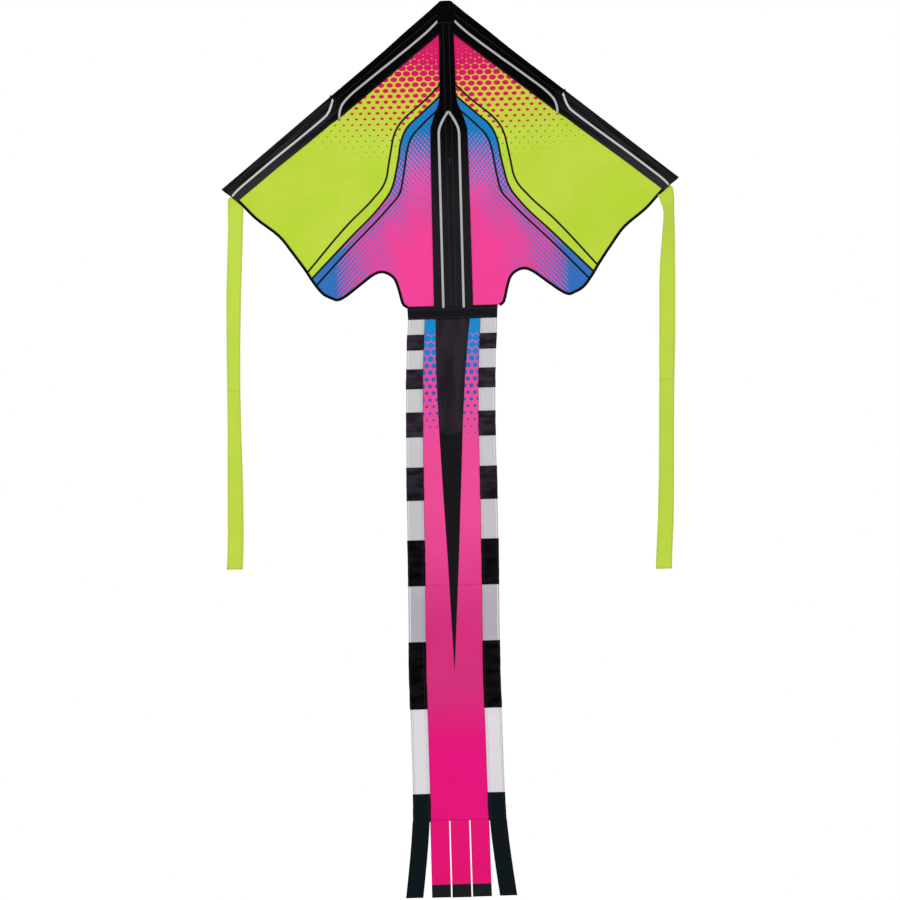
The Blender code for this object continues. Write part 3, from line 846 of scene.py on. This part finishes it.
def sleeve_fold(s, u):
    """Lengthwise folds of the sleeve, stronger past the jog."""
    strength = 0.18 + 0.75 * ease(s, 350.0, 430.0)
    edge = ease(u, 11.0, 18.0) * (1.0 - ease(u, 44.0, 50.0))
    wave = noise.noise(Vector((s / 150.0, u / 9.0, 3.0)))
    wave += 0.5 * noise.noise(Vector((s / 40.0, u / 5.0, 8.0)))
    crest = math.exp(-(((u - 15.5) / 2.6) ** 2)) * ease(s, 350.0, 400.0)
    return max(0.0, strength * (0.5 + wave)) * edge + 0.9 * crest


def make_sleeve(side, label, material):
    """The leading-edge sleeve, wrapped round the rod, with its window at the back."""
    start = 12.0
    count = int((EDGE_LENGTH - start) / 5.0)
    stations = [start + (EDGE_LENGTH - start) * i / count for i in range(count + 1)]
    rows = []
    for base in stations:
        half = sleeve_profile(base)
        section = [(u, -y) for u, y in reversed(half)] + half[1:]
        outer = ramp_between(base, SLEEVE_OUTER)
        row = []
        for (u, y), (out_u, out_y) in zip(section, section_normals(section)):
            s = base - 11.5 * ease(base, 600.0, EDGE_LENGTH) * u / 51.0
            front = y < 0
            if abs(y) <= 1.0:
                y = y - sleeve_fold(s, u) if front else y + 0.5 * sleeve_fold(s + 40.0, u)
            x, z = edge_point(s, u)
            outward = (side * INWARD[0] * out_u, out_y, INWARD[1] * out_u)
            row.append(((side * x, y, z), outward, (s, (u - outer) if front else (outer - u))))
        rows.append(row)
    turn = len(rows[0]) // 2

    def keep_cell(i, j):
        if side * (rows[i][j][0][0] + rows[i + 1][j + 1][0][0]) / 2 < 11.0:
            return False
        in_window = abs((stations[i] + stations[i + 1]) / 2 - WINDOW_AT) < WINDOW_HALF
        return not (in_window and turn + 1 <= j < turn + 10)

    obj = strip_shell(label + "_sleeve_cloth", rows, keep_cell=keep_cell)
    return settle(obj, material, [label + "_leading_edge_sleeve"], bend=wing_bend(side, label))


def make_hem(side, label, material):
    """Binding folded over the trailing edge."""
    line = evenly(smooth(TRAILING_EDGE), 4.5)
    half = [(6.6, 0.62), (6.3, 0.86), (3.8, 0.95), (1.2, 0.9), (0.2, 0.55), (-0.5, 0.0)]
    section = [(w, -y) for w, y in half] + [(w, y) for w, y in reversed(half[:-1])]
    normals = section_normals(section)
    offsets = [inset(line, w) for w, y in section]
    rows = []
    run = 0.0
    for i, (x, z) in enumerate(line):
        if i:
            run += math.hypot(x - line[i - 1][0], z - line[i - 1][1])
        swell = 1.0 + 0.12 * ripple(x, z, 18.0, 6.0)
        base = sail_lift(x, z)
        row = []
        for (w, y), (out_w, out_y), offset in zip(section, normals, offsets):
            px, pz = offset[i]
            reach = max(math.hypot(px - x, pz - z), 1e-6)
            outward = (side * out_w * (px - x) / reach, out_y, out_w * (pz - z) / reach)
            flat = (run, w + (12.0 if y > 0 else 0.0))
            row.append(((side * px, base + y * swell, pz), outward, flat))
        rows.append(row)
    obj = strip_shell(label + "_hem_binding", rows, THREAD * 0.8)
    return settle(obj, material, [label + "_trailing_edge_hem"], bend=wing_bend(side, label))


BAND_HALF = [
    (30, 18), (95, 19), (245, 21), (262, 24), (276, 29), (300, 39), (327, 47), (420, 48.5), (785, 50),
]


def mirrored(right):
    """A closed outline from its right half."""
    return [*right, *((-x, z) for x, z in reversed(right) if x)][::-1]


def make_band(material):
    """The black band down the spine, in front of both halves of the sail."""
    outline = mirrored([(ramp_between(d, BAND_HALF), -float(d)) for d in range(30, 786, 5)])

    def lift(x, z):
        seam = 0.35 * math.exp(-(((abs(x) - 8.0) / 1.6) ** 2))
        return -1.45 + seam + 0.25 * ripple(x, z, 30.0, 2.0)

    obj = cloth_sheet("center_band", outline, 6.0, lift)
    return settle(obj, material, ["center_sail_panel"], "center")


def make_nose_patch(material):
    """Doubled cloth over the nose, where the spine and the two edges meet."""
    outline = mirrored([
        (0.0, -0.4), (10.0, -0.5), (15.0, -1.6), (18.0, -4.2), (19.5, -7.0), (22.0, -58.0), (17.0, -60.5),
        (0.0, -61.0),
    ])

    def lift(x, z):
        return -2.0 + 0.3 * ripple(x, z, 16.0, 5.0)

    obj = cloth_sheet("nose_reinforcement", outline, 4.0, lift, thick=0.8)
    return settle(obj, material, ["nose_patch"], "center")


def make_header(material):
    """The black band that joins the tail to the foot of the sail."""
    outline = mirrored([
        (0.0, HEADER_TOP + 5.0), (TAIL_HALF + 2.0, HEADER_TOP + 5.0), (TAIL_HALF + 1.0, HEADER_TOP - 6.0),
        (TAIL_HALF, HEADER_FOOT), (0.0, HEADER_FOOT),
    ])

    def lift(x, z):
        return -0.75 + 0.35 * ripple(x * 2.0, z, 16.0, 7.0)

    obj = cloth_sheet("tail_header_cloth", outline, 5.0, lift, thick=0.8, drift=tail_drift)
    return settle(obj, material, ["tail_header"], "center")


TAIL_DRIFT = [  # the tail hangs more nearly plumb than the leaning sail: (depth, sideways)
    (784, -3.0), (813, -3.3), (835, -4.6), (872, -7.4), (965, -12.3), (1082, -15.2), (1233, -16.5),
    (1435, -18.1), (1722, -22.6), (1850, -21.0), (2060, -19.7), (2290, -19.5),
]
TAIL_SPREAD = [  # and it widens a little as its seams relax: (depth, share of its width)
    (1100, 0.0), (1233, 0.016), (1435, 0.017), (1722, 0.022), (2000, 0.03), (2060, 0.036), (2110, 0.048),
    (2290, 0.055),
]


def tail_drift(x, z):
    return ramp_between(-z, TAIL_DRIFT) + x * ramp_between(-z, TAIL_SPREAD)


def tail_lift(x, z):
    """The tail's slow waves, a soft crease and small puckers along its seams."""
    slow = 3.2 * ripple(x * 0.5, z, 210.0, 1.0) * ease(-z, 813.0, 900.0)
    crease = -1.0 * math.exp(-(((z + 1140.0 - 0.03 * x) / 5.0) ** 2))
    seam = math.exp(-(((abs(x) - STRIP_INNER) / 9.0) ** 2))
    pucker = 0.5 * seam * ripple(x, z, 14.0, 9.0)
    inside = 1.0 - ease(abs(x), STRIP_INNER - 22.0, STRIP_INNER)
    folds = 1.7 * ripple(x * 0.9 + z * 0.45, z * 0.5 - x * 0.3, 34.0, 12.0) * inside
    folds *= ease(-z, 1150.0, 1300.0)
    return slow + crease + pucker + folds * ease(z, -2095.0, -2040.0) + 0.5 * ripple(x, z, 45.0, 3.0)


def rows_below(z, x0, x1, length=TAIL_BEND):
    """Rows of points where a cloth bends."""
    return [[(x0, z - step), (x1, z - step)] for step in np.arange(2.8, length + 1.0, 2.8)]


def tail_bend(first, second, z, length=TAIL_BEND):
    return (first, second, (0.0, 0.0, z), (0.0, 0.0, z - length))


def box_outline(x0, x1, z0, z1):
    return [(x0, z0), (x1, z0), (x1, z1), (x0, z1)]


def make_tail(center_print, strip, patch):
    """The tail's two lengths of centre panel and side strips, and the patches on the strips."""
    lengths = {
        "upper": (HEADER_FOOT + 3.0, HEADER_FOOT, MID_SEAM - LAP, LAP_DEPTH, ("center", "tail_upper_body")),
        "lower": (MID_SEAM, MID_SEAM, SLIT_TOP, 0.0, ("tail_upper_body", "tail_lower_body")),
    }
    for part, (head, hinge, foot, behind, bodies) in lengths.items():
        pieces = {"tail_center_" + part: (-STRIP_INNER, STRIP_INNER, 0.0, center_print, "tail_panel_" + part)}
        for side, label in SIDES:
            x0, x1 = sorted((side * (STRIP_INNER - 2.5), side * TAIL_HALF))
            pieces[f"{label}_strip_{part}"] = (x0, x1, 0.45, strip, f"{label}_tail_strip_{part}")
        for name, (x0, x1, forward, material, node) in pieces.items():

            def lift(x, z):
                return tail_lift(x, z) + behind - forward

            obj = cloth_sheet(
                name, box_outline(x0, x1, foot, head), 7.0, lift, creases=rows_below(hinge, x0, x1),
                drift=tail_drift,
            )
            settle(obj, material, [node], bend=tail_bend(*bodies, hinge))

    for side, label in SIDES:
        for number, (top, foot) in enumerate(PATCHES, 1):
            make_tail_patch(side, label, number, top, foot, patch)


def make_tail_patch(side, label, number, top, foot, material):
    """One black patch: a wrinkled cloth sewn over the strip, its edges not quite straight."""
    inner = STRIP_INNER - 3.0
    outer = TAIL_HALF + 0.8
    outline = []
    corners = [(inner, foot + 0.6), (outer, foot + 0.6), (outer, top - 0.6), (inner, top - 0.6)]
    for x, z in evenly([*corners, corners[0]], 5.0):
        wobble = 0.7 * ripple(x, z, 22.0, number + 0.5)
        outline.append((side * (x + wobble), z + wobble * 0.5))
    lap = 1.6 if foot == SLIT_TOP else -0.5
    outline = [(x, foot - lap if z < foot + 2.0 else min(z, top - 0.5)) for x, z in outline[::side]]

    def lift(x, z):
        edge = min(abs(x) - inner, outer - abs(x), top - z, z - foot)
        free = ease(edge, 0.0, 6.0)
        wrinkle = noise.noise(Vector((x / 30.0, z / 8.0, number + side))) * 0.7
        tuck = noise.noise(Vector((x / 9.0, z / 26.0, number * 3.0))) * 0.35
        return tail_lift(x, z) - 1.25 - (0.45 + wrinkle + tuck) * free

    part = "upper" if number <= UPPER_PATCHES else "lower"
    obj = cloth_sheet(f"{label}_patch_{number}", outline, 4.5, lift, drift=tail_drift)
    return settle(obj, material, [f"{label}_tail_patch_{number}"], f"tail_{part}_body")


TAB_SPLAY = {
    "left_outer_tab": -21.0,
    "left_inner_tab": 0.0,
    "middle_tab": 0.5,
    "right_inner_tab": 1.0,
    "right_outer_tab": 20.0,
}


def make_tabs(pink, black):
    """The five tabs of the fringe, the outer two swinging a little outward."""
    bend_length = 24.0
    for number, (name, (x0, x1)) in enumerate(TABS.items()):
        outer = "outer" in name
        foot = TAIL_FOOT + (1.5 if outer else 0.8 * (number % 2)) - 1.0
        splay = TAB_SPLAY[name]

        def drift(x, z):
            share = (SLIT_TOP - z) / (SLIT_TOP - TAIL_FOOT)
            return tail_drift(x, z) + splay * max(share, 0.0) ** 1.25

        def lift(x, z):
            share = ease(SLIT_TOP - z, 0.0, 60.0)
            own = 2.2 * ripple(x * 0.6, z, 70.0, number + 2.0) * share
            return tail_lift(x, z) - (0.9 if outer else -LAP_DEPTH) + own

        more = 1.5 if outer else 0.0
        outline = box_outline(x0 - more, x1 + more, foot, SLIT_TOP + 0.8)
        rows = rows_below(SLIT_TOP, x0, x1, bend_length)
        obj = cloth_sheet(name + "_cloth", outline, 6.0, lift, creases=rows, drift=drift)
        bend = tail_bend("tail_lower_body", name + "_body", SLIT_TOP, bend_length)
        settle(obj, black if outer else pink, [name], bend=bend)


STREAMER_PATHS = {  # how each ribbon hangs: (depth, sideways, degrees it is turned about its length)
    "left": [
        (500, 0, 0), (521, -1, 8), (553, -2, 18), (620, -5.4, 17), (740, -11.8, 20), (860, -15.9, 27),
        (980, -18.2, 31), (1100, -19.5, 27), (1220, -20.8, 12), (1340, -22.9, 4), (1400, -25.2, 0),
        (1450, -29, 0),
    ],
    "right": [
        (500, 0, 0), (521, 3, 18), (541, 6.4, 38), (556, 7.7, 44), (577, 7.0, 41), (620, 4.6, 31),
        (680, 0.8, 18), (740, -1.5, 3), (860, -4.8, 0), (980, -9.2, 16), (1220, -16.8, 16), (1340, -21.6, 3),
        (1400, -25.9, 0), (1450, -29.1, 0),
    ],
}


def make_streamers(material):
    """The ribbons at the wing tips, tucked behind the hem at the top."""
    for side, label in SIDES:
        middle = side * STREAMER_X
        x0, x1 = middle - STREAMER_WIDTH / 2, middle + STREAMER_WIDTH / 2
        depths, sideways, turns = zip(*STREAMER_PATHS[label])

        def turn(z):
            return math.radians(np.interp(-z, depths, turns))

        def drift(x, z):
            return float(np.interp(-z, depths, sideways)) - (x - middle) * (1.0 - math.cos(turn(z)))

        outer, inner = (x1, x0) if side > 0 else (x0, x1)
        top_corner = [(outer, -497.0), (outer - side * 2.0, -491.0), (outer - side * 7.0, -487.5),
                      (outer - side * 14.0, -489.0), (inner, -507.0)]
        foot = STREAMER_MID - LAP
        parts = {
            "upper": ([(inner, foot), (outer, foot), *top_corner][::side], STREAMER_TOP, LAP_DEPTH,
                      ("_wing", "_streamer_upper_body")),
            "lower": (box_outline(x0, x1, RIBBON_FEET[label], STREAMER_MID), STREAMER_MID, 0.0,
                      ("_streamer_upper_body", "_streamer_lower_body")),
        }
        for part, (outline, hinge, behind, bodies) in parts.items():

            def lift(x, z):
                share = ease(STREAMER_TOP - z, 0.0, 120.0)
                wave = 3.4 * ripple(x * 0.7, z, 150.0, side * 2.0) + 0.8 * ripple(x, z, 36.0, side * 5.0)
                tilt = (x - middle) * math.sin(turn(z)) * side
                return STREAMER_Y + wave * share + tilt + behind

            obj = cloth_sheet(
                f"{label}_ribbon_{part}", outline, 6.0, lift, creases=rows_below(hinge, x0, x1),
                drift=drift,
            )
            pair = [label + body for body in bodies]
            settle(obj, material, [f"{label}_streamer_{part}"], bend=tail_bend(*pair, hinge))


def make_spine_sleeve(material):
    """The narrow sleeve sewn to the back of the band, holding the spine rod."""
    reach = 3.95
    half = [(11.5, 0.75), (9.0, 0.75), (6.6, 0.95), (5.2, 1.9), (4.4, 3.4)]
    arc = [(reach * math.cos(a), SPINE_Y + reach * math.sin(a)) for a in np.linspace(0.0, math.pi, 9)]
    section = half + arc + [(-x, y) for x, y in reversed(half)]
    runs = [0.0]
    for (x0, y0), (x1, y1) in zip(section, section[1:]):
        runs.append(runs[-1] + math.hypot(x1 - x0, y1 - y0))
    rows = []
    for z in np.arange(-30.0, -764.5, -6.0):
        row = []
        for (x, y), (out_x, out_y), run in zip(section, section_normals(section), runs):
            swell = 1.0 + 0.035 * ripple(x * 3.0, z, 24.0, 3.0)
            row.append(((x * swell, y, z), (out_x, out_y, 0.0), (run, -z)))
        rows.append(row)
    obj = strip_shell("spine_sleeve_cloth", rows, THREAD * 0.75)
    return settle(obj, material, ["spine_sleeve"], "center")


def keel_plane(y, z, x):
    return (x, y, z)


KEEL_TIP = 17.0  # cloth beyond the eyelet's middle
KEEL_EDGE = [
    (-1.4, KEEL_TOP),
    (TOW_Y, TOW_Z + KEEL_TIP),
    (TOW_Y - KEEL_TIP * 0.7, TOW_Z + KEEL_TIP * 0.7),
    (TOW_Y - KEEL_TIP, TOW_Z),
    (TOW_Y - KEEL_TIP * 0.7, TOW_Z - KEEL_TIP * 0.7),
    (TOW_Y, TOW_Z - KEEL_TIP),
    (-1.4, KEEL_FOOT),
]
KEEL_BEND = ("center", "keel", (0.0, -0.9, -500.0), (0.0, -15.0, -500.0))


def keel_lift(y, z):
    free = ease(-y, 15.0, 70.0) * ease(math.hypot(y - TOW_Y, z - TOW_Z), 30.0, 90.0)
    return 1.1 * ripple(y, z, 75.0, 2.0) * free


def make_keel(panel_material, hem_material):
    """The keel's cloth, its folded hem and the doubled cloth round the eyelet."""
    turns = np.linspace(0, 2 * math.pi, 25)[:-1]
    hole = [(TOW_Y + 6.0 * math.cos(a), TOW_Z + 6.0 * math.sin(a)) for a in turns]
    folds = [[(-1.4 - step, KEEL_TOP), (-1.4 - step, KEEL_FOOT)] for step in (2.4, 4.8, 7.2, 9.6, 12.0)]
    panel = cloth_sheet(
        "keel_cloth", KEEL_EDGE, 7.0, keel_lift, creases=folds, holes=[hole], place=keel_plane,
        outward=(1.0, 0.0, 0.0),
    )
    settle(panel, panel_material, ["keel_panel"], bend=KEEL_BEND)
    pieces = [panel]

    inner = inset(KEEL_EDGE, -9.0)
    inner[0] = (-1.4, KEEL_TOP - 9.6)
    inner[-1] = (-1.4, KEEL_FOOT + 10.5)
    hem = [*KEEL_EDGE, *reversed(inner)]
    obj = cloth_sheet("keel_hem", hem, 4.0, keel_lift, thick=0.9, place=keel_plane,
                      outward=(1.0, 0.0, 0.0), cut=(0.01, 0.65))
    settle(obj, hem_material, [], bend=KEEL_BEND)
    pieces.append(obj)

    reach = 46.0
    wedge = []
    for corner in KEEL_EDGE[1:6]:
        wedge.append((corner[0] + 1.0, corner[1]))
    for target in (KEEL_EDGE[-1], KEEL_EDGE[0]):
        away = math.hypot(target[0] - TOW_Y, target[1] - TOW_Z)
        share = reach / away
        side = -KEEL_TIP if target is KEEL_EDGE[-1] else KEEL_TIP
        wedge.append((
            TOW_Y + (target[0] - TOW_Y) * share,
            TOW_Z + side * (1.0 - share) * 0.9 + (target[1] - TOW_Z) * share,
        ))
    obj = cloth_sheet("keel_tow_reinforcement", wedge, 4.0, keel_lift, thick=1.05, holes=[hole],
                      place=keel_plane, outward=(1.0, 0.0, 0.0))
    settle(obj, hem_material, [], "keel")
    pieces.append(obj)
    for piece in pieces:  # edge-on to the camera, it would only darken the print beside it
        piece.visible_diffuse = False
        piece.visible_shadow = False


def make_eyelet(material):
    """A pressed metal eyelet with rolled rims, in two halves: the eyelet and its washer."""
    halves = {
        "tow_eyelet_rim": ("tow_eyelet", [
            (5.1, -1.35), (5.0, -0.9), (5.0, 0.9), (5.25, 1.4), (5.9, 1.62), (6.8, 1.55), (8.6, 1.25),
            (9.7, 1.1), (10.0, 0.85), (9.8, 0.58), (6.2, 0.58), (5.75, 0.4), (5.75, -1.2),
        ]),
        "tow_washer_rim": ("tow_eyelet_washer", [
            (5.8, -0.58), (9.8, -0.58), (10.0, -0.85), (9.7, -1.1), (8.6, -1.25), (6.8, -1.55),
            (6.0, -1.6), (5.8, -1.3),
        ]),
    }
    steps = 48
    for name, (node, profile) in halves.items():
        points = []
        faces = []
        count = len(profile)
        for i in range(steps):
            angle = 2 * math.pi * i / steps
            here = i * count
            beyond = (i + 1) % steps * count
            for j, (r, x) in enumerate(profile):
                place = Vector((x, TOW_Y + r * math.cos(angle), TOW_Z + r * math.sin(angle)))
                points.append(place * MM)
                across = (j + 1) % count
                faces.append((here + j, beyond + j, beyond + across, here + across))
        mesh = bpy.data.meshes.new(name)
        mesh.from_pydata(points, [], faces)
        mesh.validate()
        mesh.shade_smooth()
        settle(add_object(name, mesh), material, [node], "keel")


def dress_frame():
    """Better materials on the rods, caps and connectors, whose CAD shapes are right."""
    glass = {"colour": (0.018, 0.018, 0.02), "specular": 0.5, "rough": 0.32, "wear": (0.05, 0.05, 0.055)}
    looks = {
        "spreader_rod": hard_material("glass_fibre_cross_rod", streaks=(60.0, 900.0, 900.0), **glass),
        "_rod": hard_material("glass_fibre_rod", streaks=(900.0, 900.0, 60.0), **glass),
        "_cap": hard_material(
            "soft_vinyl", (0.012, 0.012, 0.013), 0.35, 0.5, (400.0, 400.0, 400.0), (0.03, 0.03, 0.032),
        ),
        "_connector": hard_material(
            "moulded_nylon", (0.016, 0.016, 0.017), 0.4, 0.45, (700.0, 700.0, 700.0), (0.035, 0.035, 0.037),
        ),
    }
    for name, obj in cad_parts.items():
        for ending, material in looks.items():
            if name.endswith(ending):
                obj.data.materials[0] = material
                break


# ---------------------------------------------------------------- stage


def make_stage():
    """A pale floor under the kite, soft lights and a white surround."""
    world = bpy.data.worlds.new("surround")
    bpy.context.scene.world = world
    world.use_nodes = True
    background = world.node_tree.nodes["Background"]
    feed(world.node_tree, background, {"Color": (1.0, 1.0, 1.0, 1.0), "Strength": 1.0})

    mesh = bpy.data.meshes.new("floor")
    x, near, far, z = 2.2, -1.6, 0.55, -2.42
    mesh.from_pydata([(-x, near, z), (x, near, z), (x, far, z), (-x, far, z)], [], [(0, 1, 2, 3)])
    pale = bpy.data.materials.new("pale_floor")
    pale.use_nodes = True
    feed(pale.node_tree, pale.node_tree.nodes["Principled BSDF"], {
        "Base Color": (0.74, 0.74, 0.75, 1.0), "Roughness": 0.8, "Specular IOR Level": 0.1,
    })
    mesh.materials.append(pale)
    add_object("floor", mesh)

    lights = {
        "key": ((-2.6, -3.6, 1.4), (0.0, 0.0, -0.8), 2.4, 78.0),
        "fill": ((2.8, -3.2, -1.0), (0.0, 0.0, -1.2), 2.4, 22.0),
        "back": ((1.4, 3.4, 0.6), (0.0, 0.0, -0.9), 2.0, 40.0),
    }
    for name, (place, target, size, power) in lights.items():
        data = bpy.data.lights.new(name, "AREA")
        data.size = size
        data.energy = power
        light = add_object(name, data)
        light.location = place
        light.rotation_euler = (Vector(target) - Vector(place)).to_track_quat("-Z", "Y").to_euler()


def make_camera():
    """Square on to the front from far off, rolled to the photo's lean."""
    distance = 8.0
    width = 2.299  # the frame's width at the kite
    lean = math.radians(1.55)
    data = bpy.data.cameras.new("camera")
    data.sensor_width = 36.0
    data.lens = 36.0 * distance / width
    data.clip_end = 50.0
    camera = add_object("camera", data)
    camera.location = (-0.019, -distance, -1.148)
    camera.rotation_euler = (math.pi / 2, lean, 0.0)
    bpy.context.scene.camera = camera
    bpy.context.scene.view_settings.view_transform = "Standard"


def main():
    make_camera()
    make_stage()
    sail = sail_material()
    sleeve = sleeve_material()
    hem = plain_material("hem_cloth", ink(10, 10, 11), [lambda c: (c.v - 4.6, c.u)], crinkle=0.2, **DULL)
    for side, label in SIDES:
        make_sail(side, label, sail)
        make_sleeve(side, label, sleeve)
        make_hem(side, label, hem)
    make_band(band_material())
    nose = plain_material("nose_cloth", ink(3, 3, 3), [lambda c: (c.v - 57.0, c.u)], crinkle=0.3, **DULL)
    make_nose_patch(nose)
    header = plain_material("header_cloth", ink(27, 24, 30),
                            [lambda c: (c.v - 788.0, c.u), lambda c: (c.v - 809.5, c.u)],
                            thread=dye(66, 64, 70), crinkle=0.4, **DULL)
    make_header(header)
    make_tail(tail_center_material(), strip_material(), patch_material())
    pink_tab = tab_material("fringe_pink_cloth", dye(233, 18, 118), ink(16, 24, 27))
    black_tab = tab_material("fringe_black_cloth", ink(19, 27, 30), ink(19, 26, 29), **DULL)
    make_tabs(pink_tab, black_tab)
    ribbon = plain_material("streamer_cloth", dye(189, 215, 74), [
        lambda c: (c.u.size() - 532.5, c.v), lambda c: (c.u.size() - 565.5, c.v),
    ], thread=dye(170, 196, 60), tone=0.05)
    make_streamers(ribbon)
    back_sleeve = plain_material("spine_sleeve_cloth_look", ink(22, 22, 24),
                                 [lambda c: (c.u - 1.8, c.v), lambda c: (c.u - 27.0, c.v)],
                                 thread=dye(60, 60, 64), **DULL)
    make_spine_sleeve(back_sleeve)
    keel = plain_material("keel_cloth_look", ink(27, 26, 29), tone=0.12, **DULL)
    keel_hem = plain_material("keel_hem_look", ink(14, 14, 16), thread=dye(60, 60, 64), **DULL)
    make_keel(keel, keel_hem)
    eyelet = hard_material(
        "blackened_brass", (0.008, 0.008, 0.008), 0.2, 0.55, (500.0, 500.0, 500.0), (0.035, 0.032, 0.028),
    )
    make_eyelet(eyelet)
    dress_frame()


main()
